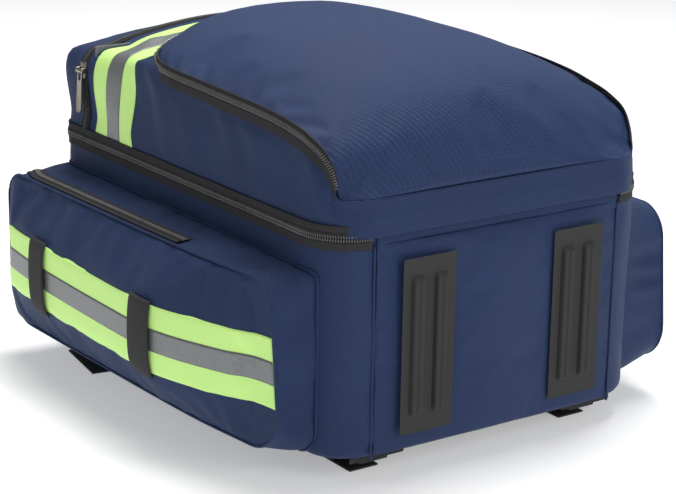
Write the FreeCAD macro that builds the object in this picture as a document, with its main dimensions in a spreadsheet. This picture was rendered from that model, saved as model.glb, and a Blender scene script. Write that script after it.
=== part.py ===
"""Trauma backpack: a clamshell medical bag lying on its back, with a hinged cover, a zipped front flap
and two side pockets.

+X is the wearer's left-to-right width, +Y runs from the feet end to the carrying-handle end, +Z from the
back panel to the front. The floor is Z = 0 and the origin is the middle of the footprint.
"""
import FreeCAD, Part
import Sketcher
import math
import os

from FreeCAD import Placement, Rotation, Vector

SIZES = {
    # main compartment
    "body_width": 291, "body_length": 391, "tub_depth": 164, "corner_radius": 36, "wall": 5,
    "back_pad_thickness": 10, "back_pad_width": 236, "back_pad_length": 290, "back_pad_start": 24,
    "rim_gap": 0.5,
    # shoulder straps and their webbing
    "strap_thickness": 8, "strap_width": 62, "strap_top_spacing": 96, "strap_low_spacing": 196,
    "strap_start": 118, "strap_end": 366, "webbing_width": 25, "webbing_thickness": 1.6,
    "lock_length": 30, "lock_thickness": 5, "lock_frame": 9, "lock_bar": 5, "lock_slot": 6, "lock_corner": 3,
    "lock_gap": 0.4, "tail_length": 42, "tail_gap": 2, "sewing_gap": 0.3, "lifter_reach": 160,
    "lifter_drop": 60, "lifter_turn": 9, "lifter_inset": 6, "yoke_width": 176, "yoke_length": 54,
    "anchor_start": 2, "anchor_flare": 12, "anchor_overlap": 10,
    # feet end
    "panel_inset": 0.5, "panel_thickness": 6, "piping_radius": 1.7, "fold_clearance": 6,
    "foot_width": 46, "foot_height": 130, "foot_spacing": 136, "foot_thickness": 6, "foot_plate": 2.4,
    "foot_rim": 3, "foot_groove": 1.2, "foot_groove_depth": 1, "foot_rib_width": 11, "foot_rib_gap": 9,
    "foot_rib_end": 11, "foot_lift": 16,
    # cover
    "cover_side": 70, "cover_crown": 14, "cover_lean": 4, "cover_far_lean": 10, "cover_wall": 4,
    "seam_height": 26, "cover_panel_thickness": 3,
    # front flap
    "flap_lean": 4, "flap_from_end": 81, "flap_corner": 95, "dome_rise": 110, "flap_gap": 0.5,
    # top pocket
    "top_zip_from_end": 41, "top_zip_half": 6, "partition_from_end": 54, "partition_thickness": 2,
    # side pockets
    "pocket_start": 21, "pocket_end_inset": 3, "pocket_low": 4, "pocket_height": 134, "pocket_depth": 37,
    "pocket_crown": 20, "pocket_wall": 3.5, "pocket_corner": 20, "pocket_zip_start": 139,
    "pocket_zip_inset": 9.5, "pocket_zip_half": 6.5, "pocket_slider_drop": 50,
    # zippers
    "zip_half": 8.5, "flap_tape": 5.1, "tape_thickness": 1.2, "top_slider_rise": 56, "flap_slider_lift": 8,
    "slider_length": 13, "slider_width": 9, "slider_thickness": 3, "slider_gap": 0.4,
    "pull_length": 34, "pull_width": 7, "pull_thickness": 1.6, "bridge_height": 4, "pin_radius": 1.1,
    # reflective tape and loops
    "tape_band": 51, "cover_band": 60, "cover_band_from_end": 118, "tape_low": 43, "loop_gap": 0.4,
    "loop_near": 147, "loop_far": 312, "loop_thickness": 1.6, "loop_under": 2, "loop_over": 4,
    # carrying handle
    "handle_span": 110, "handle_reach": 30, "handle_radius": 5, "handle_height": 46, "handle_tab": 2,
    "handle_gap": 0.6,
    # inside
    "board_thickness": 2, "board_inset": 12, "divider_thickness": 8, "divider_height": 92,
    "divider_gap": 1, "divider_shift": 31, "elastic_length": 196, "elastic_thickness": 2,
    "elastic_height": 34, "elastic_lift": 74, "mesh_depth": 8, "mesh_inset": 36, "organiser_length": 186,
}

doc = FreeCAD.newDocument("trauma_backpack")
sheet = doc.addObject("Spreadsheet::Sheet", "dims")
for row, (alias, size) in enumerate(SIZES.items(), start=1):
    sheet.set(f"A{row}", alias)
    sheet.set(f"B{row}", str(size))
    sheet.setAlias(f"B{row}", alias)
doc.recompute()
nodes = []


def size(alias):
    """The sheet's value of one driving dimension, in mm."""
    return float(sheet.get(alias))


# Where the assembly stands: its floor is the straps' underside, and Y is centred on the feet and the handle.
BACK_Z = "dims.strap_thickness + dims.back_pad_thickness"
RIM_Z = f"({BACK_Z} + dims.tub_depth)"
FEET_OUT = "(dims.panel_thickness + dims.foot_thickness)"
HANDLE_OUT = "(dims.handle_tab + dims.handle_gap + 2 * dims.handle_radius + dims.handle_reach)"
CENTRE_Y = f"(-(dims.body_length + {HANDLE_OUT} - {FEET_OUT}) / 2)"
back_z = size("strap_thickness") + size("back_pad_thickness")
rim_z = back_z + size("tub_depth")
half_width = size("body_width") / 2
body_length = size("body_length")
flap_reach = body_length - size("flap_from_end")
panel_half = size("body_width") / 2 - size("corner_radius") - size("panel_inset")
PANEL_HALF = "(dims.body_width / 2 - dims.corner_radius - dims.panel_inset)"
SIDES = {"left": -1, "right": 1}


def place(item, label, y="0", x="0", z="0"):
    """Names a finished sub-part and gives it its place, with Y measured from the feet end's wall."""
    item.Label = label
    item.setExpression("Placement.Base.x", x)
    item.setExpression("Placement.Base.y", f"{CENTRE_Y} + {y}")
    item.setExpression("Placement.Base.z", z)
    nodes.append(item)
    return item


def shape_node(label, shape):
    """A sub-part whose shape is worked out from the sheet in code."""
    item = doc.addObject("Part::Feature", label)
    item.Shape = shape
    return place(item, label)


def box_node(label, length, width, height, x, y, z):
    """A plain block whose sizes and place are expressions on the sheet."""
    item = doc.addObject("Part::Box", label)
    item.setExpression("Length", length)
    item.setExpression("Width", width)
    item.setExpression("Height", height)
    return place(item, label, y, x, z)


# ---- sketch helpers -------------------------------------------------------------------------------------
def origin_plane(body, role):
    """The body's own origin plane of that role."""
    return next(plane for plane in body.Origin.OriginFeatures if plane.Role == role)


def rectangle_sketch(body, name, plane, left, low, width, height, offset="0"):
    """A constrained rectangle on an origin plane, driven by expressions."""
    sketch = body.newObject("Sketcher::SketchObject", name)
    sketch.AttachmentSupport = [(origin_plane(body, plane), "")]
    sketch.MapMode = "FlatFace"
    sketch.setExpression("AttachmentOffset.Base.z", offset)
    add_rectangle(sketch, left, low, width, height)
    return sketch


def add_rectangle(sketch, left, low, width, height):
    """Adds one driven rectangle to a sketch."""
    corners = [Vector(1, 1, 0), Vector(9, 1, 0), Vector(9, 5, 0), Vector(1, 5, 0)]
    first = sketch.GeometryCount
    for start, end in zip(corners, corners[1:] + corners[:1]):
        sketch.addGeometry(Part.LineSegment(start, end), False)
    for side in range(4):
        sketch.addConstraint(Sketcher.Constraint("Coincident", first + side, 2, first + (side + 1) % 4, 1))
    for side, kind in enumerate(("Horizontal", "Vertical", "Horizontal", "Vertical")):
        sketch.addConstraint(Sketcher.Constraint(kind, first + side))
    drivers = (("DistanceX", (first, 1, first, 2), 8, width),
               ("DistanceY", (first + 1, 1, first + 1, 2), 4, height),
               ("DistanceX", (-1, 1, first, 1), 1, left), ("DistanceY", (-1, 1, first, 1), 1, low))
    for kind, where, start_value, expression in drivers:
        index = sketch.addConstraint(Sketcher.Constraint(kind, *where, start_value))
        sketch.setExpression(f"Constraints[{index}]", expression)


def rounded_sketch(body, name, left, low, width, height, radius, offset="0"):
    """A constrained rectangle with four equal round corners on the body's XY plane."""
    sketch = body.newObject("Sketcher::SketchObject", name)
    sketch.AttachmentSupport = [(origin_plane(body, "XY_Plane"), "")]
    sketch.MapMode = "FlatFace"
    sketch.setExpression("AttachmentOffset.Base.z", offset)
    wide, tall, r = 200, 300, 20
    corners = [(wide - r, r), (wide - r, tall - r), (r, tall - r), (r, r)]
    sides = [((r, 0), (wide - r, 0)), ((wide, r), (wide, tall - r)), ((wide - r, tall), (r, tall)),
             ((0, tall - r), (0, r))]
    for i, (centre, (start, end)) in enumerate(zip(corners, sides)):
        sketch.addGeometry(Part.LineSegment(Vector(*start, 0), Vector(*end, 0)), False)
        circle = Part.Circle(Vector(*centre, 0), Vector(0, 0, 1), r)
        sketch.addGeometry(Part.ArcOfCircle(circle, (i - 1) * math.pi / 2, i * math.pi / 2), False)
    for i in range(0, 8, 2):
        sketch.addConstraint(Sketcher.Constraint("Tangent", i, 2, i + 1, 1))
        sketch.addConstraint(Sketcher.Constraint("Tangent", i + 1, 2, (i + 2) % 8, 1))
        sketch.addConstraint(Sketcher.Constraint("Horizontal" if i % 4 == 0 else "Vertical", i))
    for arc in (3, 5, 7):
        sketch.addConstraint(Sketcher.Constraint("Equal", 1, arc))
    drivers = (("Radius", (1,), r, radius), ("DistanceX", (6, 1, 2, 1), wide, width),
               ("DistanceY", (0, 1, 4, 1), tall, height), ("DistanceX", (-1, 1, 6, 1), 0.5, left),
               ("DistanceY", (-1, 1, 0, 1), 0.5, low))
    for kind, where, start_value, expression in drivers:
        index = sketch.addConstraint(Sketcher.Constraint(kind, *where, start_value))
        sketch.setExpression(f"Constraints[{index}]", expression)
    return sketch


def pad(body, name, sketch, length):
    """Pads a sketch along its normal."""
    feature = body.newObject("PartDesign::Pad", name)
    feature.Profile = sketch
    feature.setExpression("Length", length)
    doc.recompute()
    return feature


def pocket(body, name, sketch, length, reverse=False):
    """Pockets a sketch and checks that it really removed material."""
    before = body.Shape.Volume
    feature = body.newObject("PartDesign::Pocket", name)
    feature.Profile = sketch
    feature.Reversed = reverse
    feature.setExpression("Length", length)
    doc.recompute()
    if body.Shape.Volume >= before:
        raise RuntimeError(f"{name} cuts nothing")
    return feature


def round_edges(body, name, chosen, radius):
    """Fillets the edges of the body's last feature that the test picks."""
    base = body.Tip
    edges = [f"Edge{i}" for i, edge in enumerate(base.Shape.Edges, start=1) if chosen(edge)]
    feature = body.newObject("PartDesign::Fillet", name)
    feature.Base = (base, edges)
    feature.setExpression("Radius", radius)
    doc.recompute()
    return feature


def along(axis):
    """A test for straight edges along an axis, 0 to 2."""
    def chosen(edge):
        ends = [v.Point for v in edge.Vertexes]
        if len(ends) != 2 or edge.Curve.TypeId != "Part::GeomLine":
            return False
        run = ends[1] - ends[0]
        return abs(abs(run[axis]) - run.Length) < 1e-6
    return chosen


# ---- shape helpers --------------------------------------------------------------------------------------
def rounded_wire(low, high, radii, point):
    """A closed rounded rectangle from low to high, whose four corner radii start at (low, low).

    point turns the two flat coordinates into a Vector.
    """
    (u0, v0), (u1, v1) = low, high
    corners = ((u0, v0, 1, 1), (u1, v0, -1, 1), (u1, v1, -1, -1), (u0, v1, 1, -1))
    diagonal = 1 - math.sqrt(0.5)
    starts, arcs = [], []
    for i, ((u, v, du, dv), r) in enumerate(zip(corners, radii)):
        along_u = (u + du * r, v)
        along_v = (u, v + dv * r)
        middle = (u + du * r * diagonal, v + dv * r * diagonal)
        first, last = (along_v, along_u) if i % 2 == 0 else (along_u, along_v)
        arcs.append(Part.Arc(point(*first), point(*middle), point(*last)).toShape())
        starts.append((first, last))
    edges = []
    for i, arc in enumerate(arcs):
        edges.append(arc)
        edges.append(Part.makeLine(point(*starts[i][1]), point(*starts[(i + 1) % 4][0])))
    return Part.Wire(edges)


def at_height(z):
    return lambda x, y: Vector(x, y, z)


def at_side(x):
    return lambda y, z: Vector(x, y, z)


def slab(x0, x1, y0, y1, z0, z1):
    """A block between two corners."""
    return Part.makeBox(x1 - x0, y1 - y0, z1 - z0, Vector(x0, y0, z0))


def arched_block(stations, half, floor):
    """A solid lofted along Y whose top is an arch: each station is (y, side height, crest height)."""
    wires = []
    for y, side, crest in stations:
        arch = Part.Arc(Vector(-half, y, side), Vector(0, y, crest), Vector(half, y, side)).toShape()
        outline = Part.makePolygon([Vector(half, y, side), Vector(half, y, floor), Vector(-half, y, floor),
                                    Vector(-half, y, side)])
        wires.append(Part.Wire([arch] + outline.Edges))
    return Part.makeLoft(wires, True, True)


def tub_outline(grow, low, high):
    """The main compartment's rounded plan, grown outwards and extruded between two heights."""
    r = size("corner_radius") + grow
    wire = rounded_wire((-half_width - grow, -grow), (half_width + grow, body_length + grow), (r,) * 4,
                        at_height(low))
    return Part.Face(wire).extrude(Vector(0, 0, high - low))


def cover_prism(grow, low):
    """The cover's leaning walls, from a low height to well above its deck."""
    top = rim_z + size("dome_rise")
    r = size("corner_radius") + grow
    wires = []
    for z in (low, top):
        share = (z - rim_z) / size("cover_side")
        side = half_width + grow - size("cover_lean") * share
        far = body_length + grow - size("cover_far_lean") * share
        wires.append(rounded_wire((-side, -grow), (side, far), (r,) * 4, at_height(z)))
    return Part.makeLoft(wires, True, True)


def deck_block(grow, floor):
    """Everything under the cover's crowned deck."""
    side = rim_z + size("cover_side") + grow
    crown = size("cover_crown")
    length = body_length
    stations = ((-20, side - 6, side - 3), (0.3 * length, side, side + 0.5 * crown),
                (0.75 * length, side - 1, side + crown), (length + 20, side - 7, side + crown - 8))
    return arched_block(stations, half_width + 30, floor)


def cover_form(grow, low):
    """The cover's outer form, grown, down to a low height."""
    return cover_prism(grow, low).common(deck_block(grow, low - 5))


def flap_prism(grow, low):
    """The front flap's plan, with large far corners, from a low height to above its dome."""
    half = half_width - size("flap_lean") + grow
    near, far = size("corner_radius") + grow, size("flap_corner") + grow
    wire = rounded_wire((-half, -grow), (half, flap_reach + grow), (near, near, far, far),
                        at_height(low))
    return Part.Face(wire).extrude(Vector(0, 0, rim_z + 2 * size("dome_rise") - low))


def dome_block(grow):
    """Everything under the front flap's padded dome."""
    seam, rise, reach = size("seam_height"), size("dome_rise"), flap_reach
    profile = ((-0.02, 0.0, 0.03), (0.03, 0.30, 0.40), (0.09, 0.52, 0.68), (0.17, 0.60, 0.84),
               (0.30, 0.62, 0.94), (0.50, 0.64, 1.0), (0.72, 0.65, 0.97), (1.03, 0.66, 0.83))
    stations = [(share * reach, rim_z + seam + side * (rise - seam) + grow,
                 rim_z + seam + crest * (rise - seam) + grow) for share, side, crest in profile]
    return arched_block(stations, half_width + 6, rim_z + 5)


def below_split(shift):
    """Everything under the line where the front flap parts from the cover."""
    side, crown, seam = size("cover_side"), size("cover_crown"), size("seam_height")
    profile = ((10, -30, 0), (20, -17, 0), (33, -9, 0), (50, -5, 0), (85, -2, 0.15), (150, 0, 0.45),
               (230, 1, 0.9), (flap_reach + 40, 1, 1.1))
    stations = [(y, rim_z + side + drop + shift, rim_z + side + drop + crown * bow + 1 + shift)
                for y, drop, bow in profile]
    wall = slab(-half_width - 40, half_width + 40, -40, profile[0][0], rim_z - 60, rim_z + seam + shift)
    return arched_block(stations, half_width + 40, rim_z - 60).fuse(wall)


def pocket_form(side, grow, inner_x):
    """A side pocket's outer form, grown, from inside the body's wall out to its crowned face."""
    y0, y1 = size("pocket_start"), body_length - size("pocket_end_inset")
    z0 = back_z + size("pocket_low")
    z1 = z0 + size("pocket_height")
    depth, crown, r = size("pocket_depth"), size("pocket_crown"), size("pocket_corner")
    tall, long = z1 - z0, y1 - y0
    rings = ((inner_x, 0, 0, r), (half_width, 0, 0, r), (half_width + depth, 2, 0.04 * tall, 1.2 * r),
             (half_width + depth + 0.6 * crown, 0.11 * long, 0.17 * tall, 0.26 * tall),
             (half_width + depth + crown, 0.27 * long, 0.34 * tall, 0.13 * tall))
    wires = []
    for x, in_y, in_z, ring_r in rings:
        out = grow if x > inner_x else 0
        wires.append(rounded_wire((y0 + in_y - grow, z0 + in_z - grow), (y1 - in_y + grow, z1 - in_z + grow),
                                  (ring_r + min(grow, 0),) * 4, at_side(side * (x + out))))
    return Part.makeLoft(wires, True, True)


# ---- main compartment -----------------------------------------------------------------------------------
def make_tub():
    body = doc.addObject("PartDesign::Body", "tub_shell")
    outline = rounded_sketch(body, "tub_plan", "-dims.body_width / 2", "0", "dims.body_width",
                             "dims.body_length", "dims.corner_radius")
    pad(body, "tub_block", outline, "dims.tub_depth - dims.rim_gap")
    inside = rounded_sketch(body, "tub_hollow_plan", "-dims.body_width / 2 + dims.wall", "dims.wall",
                            "dims.body_width - 2 * dims.wall", "dims.body_length - 2 * dims.wall",
                            "dims.corner_radius - dims.wall", "dims.wall")
    pocket(body, "tub_hollow", inside, "dims.tub_depth", reverse=True)
    return place(body, "tub_shell", z=BACK_Z)


def make_back_pad():
    body = doc.addObject("PartDesign::Body", "back_pad")
    outline = rectangle_sketch(body, "pad_plan", "XY_Plane", "-dims.back_pad_width / 2",
                               "dims.back_pad_start", "dims.back_pad_width", "dims.back_pad_length")
    pad(body, "pad_block", outline, "dims.back_pad_thickness")
    round_edges(body, "pad_corners", along(2), "dims.corner_radius / 2")
    return place(body, "back_pad", z="dims.strap_thickness")


def make_yoke():
    y = "dims.back_pad_start + dims.back_pad_length + dims.divider_gap"
    return box_node("strap_yoke", "dims.yoke_width", "dims.yoke_length", "dims.back_pad_thickness",
                    "-dims.yoke_width / 2", y, "dims.strap_thickness")


def strap_middle(share):
    """A point on a shoulder strap's middle line, from its lower end (0) to its top (1), for +X."""
    low, top = size("strap_low_spacing") / 2, size("strap_top_spacing") / 2
    x = low + (top - low) * share ** 1.6
    return x, size("strap_start") + (size("strap_end") - size("strap_start")) * share


def strap_block(side, half):
    """A shoulder strap's solid, half its width given, curving in from the ladder lock to the yoke."""
    shares = [i / 8 for i in range(9)]
    edges = []
    for offset in (-half, half):
        line = [Vector(side * (x + offset), y, 0) for x, y in map(strap_middle, shares)]
        curve = Part.BSplineCurve()
        curve.interpolate(line if offset < 0 else line[::-1])
        edges.append(curve.toShape())
    start = [edge.Vertexes for edge in edges]
    edges.insert(1, Part.makeLine(start[0][-1].Point, start[1][0].Point))
    edges.append(Part.makeLine(start[1][-1].Point, start[0][0].Point))
    face = Part.Face(Part.Wire(Part.__sortEdges__(edges)))
    return face.extrude(Vector(0, 0, size("strap_thickness")))


def make_shoulder_strap(name, side):
    shape_node(f"shoulder_strap_{name}", strap_block(side, size("strap_width") / 2))


def lock_corner(edge):
    """Whether an edge is one of a ladder lock's outer upright corners."""
    half = (size("webbing_width") + size("lock_frame")) / 2
    return along(2)(edge) and abs(abs(edge.CenterOfMass.x) - half) < 0.01


def make_ladder_lock(name, side):
    """A moulded ladder lock with two webbing slots, at the strap's lower end."""
    body = doc.addObject("PartDesign::Body", f"ladder_lock_{name}")
    width, slot = "(dims.webbing_width + dims.lock_frame)", "(dims.webbing_width + 1)"
    outline = rectangle_sketch(body, f"lock_plan_{name}", "XY_Plane", f"-{width} / 2", "0", width,
                               "dims.lock_length")
    pad(body, f"lock_block_{name}", outline, "dims.lock_thickness")
    slots = rectangle_sketch(body, f"lock_slots_{name}", "XY_Plane", f"-{slot} / 2", "dims.lock_bar", slot,
                             "dims.lock_slot")
    add_rectangle(slots, f"-{slot} / 2", "dims.lock_length - dims.lock_bar - dims.lock_slot", slot,
                  "dims.lock_slot")
    pocket(body, f"lock_cuts_{name}", slots, "dims.lock_thickness", reverse=True)
    round_edges(body, f"lock_corners_{name}", lock_corner, "dims.lock_corner")
    place(body, f"ladder_lock_{name}", "dims.strap_start - dims.lock_length - dims.divider_gap",
          f"{side} * dims.strap_low_spacing / 2", "dims.webbing_thickness + dims.lock_gap")


def make_adjuster_webbing(name, side):
    """The webbing from the lower corner into the ladder lock, with its short tail folded back on it."""
    thick, half = size("webbing_thickness"), size("webbing_width") / 2
    x = side * size("strap_low_spacing") / 2
    y_lock = size("strap_start") - size("lock_length")
    run = slab(x - half, x + half, size("back_pad_start"), y_lock + size("lock_length") / 2, 0, thick)
    tail = slab(x - half, x + half, y_lock - size("tail_length"), y_lock - size("tail_gap"), thick, 2 * thick)
    shape_node(f"adjuster_webbing_{name}", run.fuse(tail).removeSplitter())


def make_lifter_webbing(name, side):
    """The load-lifter webbing: out from the strap's edge, then folded down along the bag to its cut end."""
    thick, wide, out = size("webbing_thickness"), size("webbing_width"), size("lifter_reach")
    high = size("strap_end") - size("lifter_inset")
    across = slab(strap_middle(1)[0], out, high - wide, high, 0, thick)
    across = across.cut(strap_block(1, size("strap_width") / 2 + size("sewing_gap")))
    down = slab(-wide, 0, -size("lifter_drop"), 0, 0, thick)
    down.Placement = Placement(Vector(out, high, 0), Rotation(Vector(0, 0, 1), size("lifter_turn")))
    piece = across.fuse(down).removeSplitter()
    if side < 0:
        piece = piece.mirror(Vector(0, 0, 0), Vector(1, 0, 0))
    shape_node(f"lifter_webbing_{name}", piece)


def make_strap_anchor(name, side):
    """The triangular tab that sews the webbing to the lower corner of the back."""
    x, half = side * size("strap_low_spacing") / 2, size("webbing_width") / 2
    flare = half + size("anchor_flare")
    y0, y1 = size("anchor_start"), size("back_pad_start") - size("anchor_start")
    z0 = size("strap_thickness")
    corners = ((x - flare, y0), (x + flare, y0), (x + half, y1), (x - half, y1), (x - flare, y0))
    outline = Part.makePolygon([Vector(*corner, z0) for corner in corners])
    upper = Part.Face(outline).extrude(Vector(0, 0, size("back_pad_thickness")))
    lower = slab(x - half, x + half, y1 - size("anchor_overlap"), y1, 0, z0)
    shape_node(f"strap_anchor_{name}", upper.fuse(lower).removeSplitter())


# ---- feet end -------------------------------------------------------------------------------------------
def make_bottom_panel():
    body = doc.addObject("PartDesign::Body", "bottom_panel")
    outline = rectangle_sketch(body, "panel_plan", "XY_Plane", "-" + PANEL_HALF,
                               "-dims.panel_thickness", "2 * " + PANEL_HALF, "dims.panel_thickness")
    pad(body, "panel_block", outline, "dims.tub_depth - dims.fold_clearance")

    def front(edge):
        return along(2)(edge) and edge.CenterOfMass.y < -0.5
    round_edges(body, "panel_edges", front, "dims.panel_thickness - 0.5")
    return place(body, "bottom_panel", z=BACK_Z)


def make_piping():
    """The two piped seams down the sides of the feet end."""
    radius = size("piping_radius")
    height = size("tub_depth") - size("fold_clearance")
    x = panel_half + radius
    cords = [Part.makeCylinder(radius, height, Vector(side * x, -radius, back_z)) for side in SIDES.values()]
    shape_node("panel_piping", Part.makeCompound(cords))


def make_foot(name, side):
    """A rubber foot: a thin plate with a groove round its rim and two long ribs that stand on it."""
    body = doc.addObject("PartDesign::Body", f"rubber_foot_{name}")
    plate = rectangle_sketch(body, f"foot_plate_{name}", "XZ_Plane", "-dims.foot_width / 2", "0",
                             "dims.foot_width", "dims.foot_height")
    pad(body, f"foot_block_{name}", plate, "dims.foot_plate")
    rim, groove = "dims.foot_rim", "(dims.foot_rim + dims.foot_groove)"
    ring = rectangle_sketch(body, f"foot_groove_{name}", "XZ_Plane", f"-dims.foot_width / 2 + {rim}", rim,
                            f"dims.foot_width - 2 * {rim}", f"dims.foot_height - 2 * {rim}",
                            "dims.foot_plate")
    add_rectangle(ring, f"-dims.foot_width / 2 + {groove}", groove, f"dims.foot_width - 2 * {groove}",
                  f"dims.foot_height - 2 * {groove}")
    pocket(body, f"foot_cut_{name}", ring, "dims.foot_groove_depth")
    end = "(dims.foot_rib_end + dims.foot_rim)"
    left, height = "-dims.foot_rib_gap / 2 - dims.foot_rib_width", f"dims.foot_height - 2 * {end}"
    ribs = rectangle_sketch(body, f"foot_ribs_{name}", "XZ_Plane", left, end, "dims.foot_rib_width", height,
                            "dims.foot_plate / 2")
    add_rectangle(ribs, "dims.foot_rib_gap / 2", end, "dims.foot_rib_width", height)
    pad(body, f"foot_rib_pads_{name}", ribs, "dims.foot_thickness - dims.foot_plate / 2")
    place(body, f"rubber_foot_{name}", "-dims.panel_thickness", f"{side} * dims.foot_spacing / 2",
          f"{BACK_Z} + dims.foot_lift")


# ---- zippers, tapes and loops ---------------------------------------------------------------------------
def make_main_zip():
    """The two tape halves round the compartment's rim, which stop beside the piping at the feet end."""
    half, gap = size("zip_half"), size("rim_gap")
    fold = panel_half + 2 * size("piping_radius") + size("sewing_gap")
    thick = size("tape_thickness")
    keep_out = slab(-fold, fold, -20, size("corner_radius"), rim_z - 40, rim_z + 40)
    lower = tub_outline(thick, rim_z - half, rim_z - gap).cut(tub_outline(0, rim_z - 2 * half, rim_z + half))
    shape_node("main_zip_lower", lower.cut(keep_out))
    band = slab(-half_width - 20, half_width + 20, -20, body_length + 20, rim_z, rim_z + half)
    upper = cover_prism(thick, rim_z).common(band).cut(cover_prism(0, rim_z - 5))
    shape_node("main_zip_upper", upper.cut(keep_out))


def make_pocket(name, side):
    """A side pocket: a crowned shell open towards the body, with its zip, tape and webbing loops."""
    wall, thick = size("pocket_wall"), size("tape_thickness")
    inner_x = half_width - size("corner_radius")
    tub = tub_outline(0, 0, rim_z)
    outer = pocket_form(side, 0, inner_x)
    hollow = pocket_form(side, -wall, inner_x - 5)
    shape_node(f"{name}_pocket_shell", outer.cut(hollow).cut(tub))

    def along_side(x0, x1, y0, y1, z0, z1):
        low, high = sorted((side * x0, side * x1))
        return slab(low, high, y0, y1, z0, z1)
    top = back_z + size("pocket_low") + size("pocket_height")
    face = half_width + size("pocket_depth")
    middle, half = face - size("pocket_zip_inset"), size("pocket_zip_half")
    zip_run = along_side(middle - half, middle + half, size("pocket_zip_start"), body_length + 20, top - 60,
                         top + 20)
    skin = pocket_form(side, thick, inner_x).cut(outer)
    shape_node(f"{name}_pocket_zip", skin.common(zip_run))
    low = back_z + size("tape_low")
    band = along_side(face + 0.5, face + 60, 0, body_length, low, low + size("tape_band"))
    shape_node(f"{name}_pocket_tape", skin.common(band))
    lifted = thick + size("loop_gap")
    under_loops = pocket_form(side, lifted, inner_x)
    over_loops = pocket_form(side, lifted + size("loop_thickness"), inner_x).cut(under_loops)
    half, loops = size("webbing_width") / 2, []
    low_end, high_end = low - size("loop_under"), low + size("tape_band") + size("loop_over")
    for centre in (size("loop_near"), size("loop_far")):
        strip = along_side(face, face + 60, centre - half, centre + half, low_end, high_end)
        loops.append(over_loops.common(strip))
    shape_node(f"{name}_pocket_loops", Part.makeCompound(loops))


# ---- cover ----------------------------------------------------------------------------------------------
def make_cover():
    """The hinged cover: leaning walls and a crowned deck, open under the front flap.

    Near the feet end the flap takes the whole width, so nothing of the cover stands over the split there.
    """
    wall, gap = size("cover_wall"), size("flap_gap")
    shell = cover_form(0, rim_z).cut(cover_form(-wall, rim_z - 10))
    turn = flap_reach - size("flap_corner")
    over = slab(-half_width - 20, half_width + 20, -20, turn, rim_z + 10, rim_z + 2 * size("dome_rise"))
    opening = flap_prism(gap, rim_z + 10).fuse(over).cut(below_split(-gap))
    shape_node("cover_shell", shell.cut(opening))


def make_cover_band():
    """The reflective band over the cover and down both sides."""
    start, thick = body_length - size("cover_band_from_end"), size("tape_thickness")
    skin = cover_form(thick, rim_z).cut(cover_form(0, rim_z - 5))
    reach = slab(-half_width - 20, half_width + 20, start, start + size("cover_band"),
                 rim_z + size("zip_half") + 0.5, rim_z + 200)
    edge = 2 * thick + size("zip_half")
    shape_node("cover_reflective_band", skin.common(reach).cut(flap_prism(edge, rim_z)))


def make_top_zip():
    """The top pocket's tape across the deck and down both sides."""
    thick, half = size("tape_thickness"), size("top_zip_half")
    y = body_length - size("top_zip_from_end")
    skin = cover_form(thick, rim_z).cut(cover_form(0, rim_z - 5))
    reach = slab(-half_width - 20, half_width + 20, y - half, y + half, rim_z + size("zip_half") + 0.5,
                 rim_z + 200)
    shape_node("top_pocket_zip", skin.common(reach))


def make_partition():
    """The cloth wall between the front pocket and the top pocket."""
    y = body_length - size("partition_from_end")
    inside = cover_form(-size("cover_wall"), rim_z - 10)
    low = rim_z + size("cover_panel_thickness") + 1
    wall = slab(-half_width, half_width, y, y + size("partition_thickness"), low, rim_z + 200)
    shape_node("top_pocket_partition", wall.common(inside))


def make_cover_panel():
    """The stiffened lining that closes the cover's underside."""
    inside = cover_form(-size("cover_wall"), rim_z - 10)
    thick = size("cover_panel_thickness")
    sheet_space = slab(-half_width, half_width, 0, body_length, rim_z + 1, rim_z + 1 + thick)
    shape_node("cover_panel", sheet_space.common(inside))


def make_cover_mesh():
    """The flat zipped mesh pocket on the lining's inner side."""
    box_node("cover_mesh_pocket", "dims.body_width - 2 * dims.mesh_inset",
             "dims.body_length - 2 * dims.mesh_inset", "dims.mesh_depth",
             "-dims.body_width / 2 + dims.mesh_inset", "dims.mesh_inset", f"{RIM_Z} + 1 - dims.mesh_depth")


def make_flap_zip_lower():
    """The cover's half of the flap's tape: on its walls near the feet end and on the deck beyond."""
    half, gap, thick = size("zip_half"), size("flap_gap"), size("tape_thickness")
    turn = flap_reach - size("flap_corner")
    walls = cover_prism(thick, rim_z).cut(cover_prism(0, rim_z - 5))
    near = slab(-half_width - 20, half_width + 20, size("panel_thickness"), turn - 1, rim_z + 10, rim_z + 200)
    on_walls = walls.common(near).common(below_split(-gap)).cut(below_split(-gap - half))
    on_walls = on_walls.common(deck_block(thick, rim_z))
    ring = flap_prism(gap + half, rim_z).cut(flap_prism(gap + thick, rim_z - 5))
    deck = deck_block(thick, rim_z).cut(deck_block(0, rim_z - 5)).common(ring)
    beyond = slab(-half_width - 20, half_width + 20, turn, body_length, rim_z, rim_z + 200)
    on_deck = deck.common(beyond).common(cover_prism(thick, rim_z))
    shape_node("flap_zip_lower", Part.makeCompound(on_walls.Solids + on_deck.Solids))


# ---- front flap -----------------------------------------------------------------------------------------
def flap_form(grow):
    """The flap's outer form, grown, before the split line trims it."""
    return flap_prism(grow, rim_z + 10).common(dome_block(grow))


def make_flap():
    """The domed front flap and its half of the tape."""
    wall, gap, thick = size("cover_wall"), size("flap_gap"), size("tape_thickness")
    shell = flap_form(0).cut(flap_form(-wall)).cut(below_split(gap))
    shape_node("flap_shell", shell)
    low = below_split(size("flap_tape") + gap)
    skin = flap_prism(thick, rim_z + 12).cut(flap_prism(0, rim_z + 10)).common(dome_block(0))
    beyond = slab(-half_width - 20, half_width + 20, size("panel_thickness") + 4, body_length, rim_z,
                  rim_z + 200)
    shape_node("flap_zip_upper", skin.common(low).cut(below_split(gap)).common(beyond))


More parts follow.
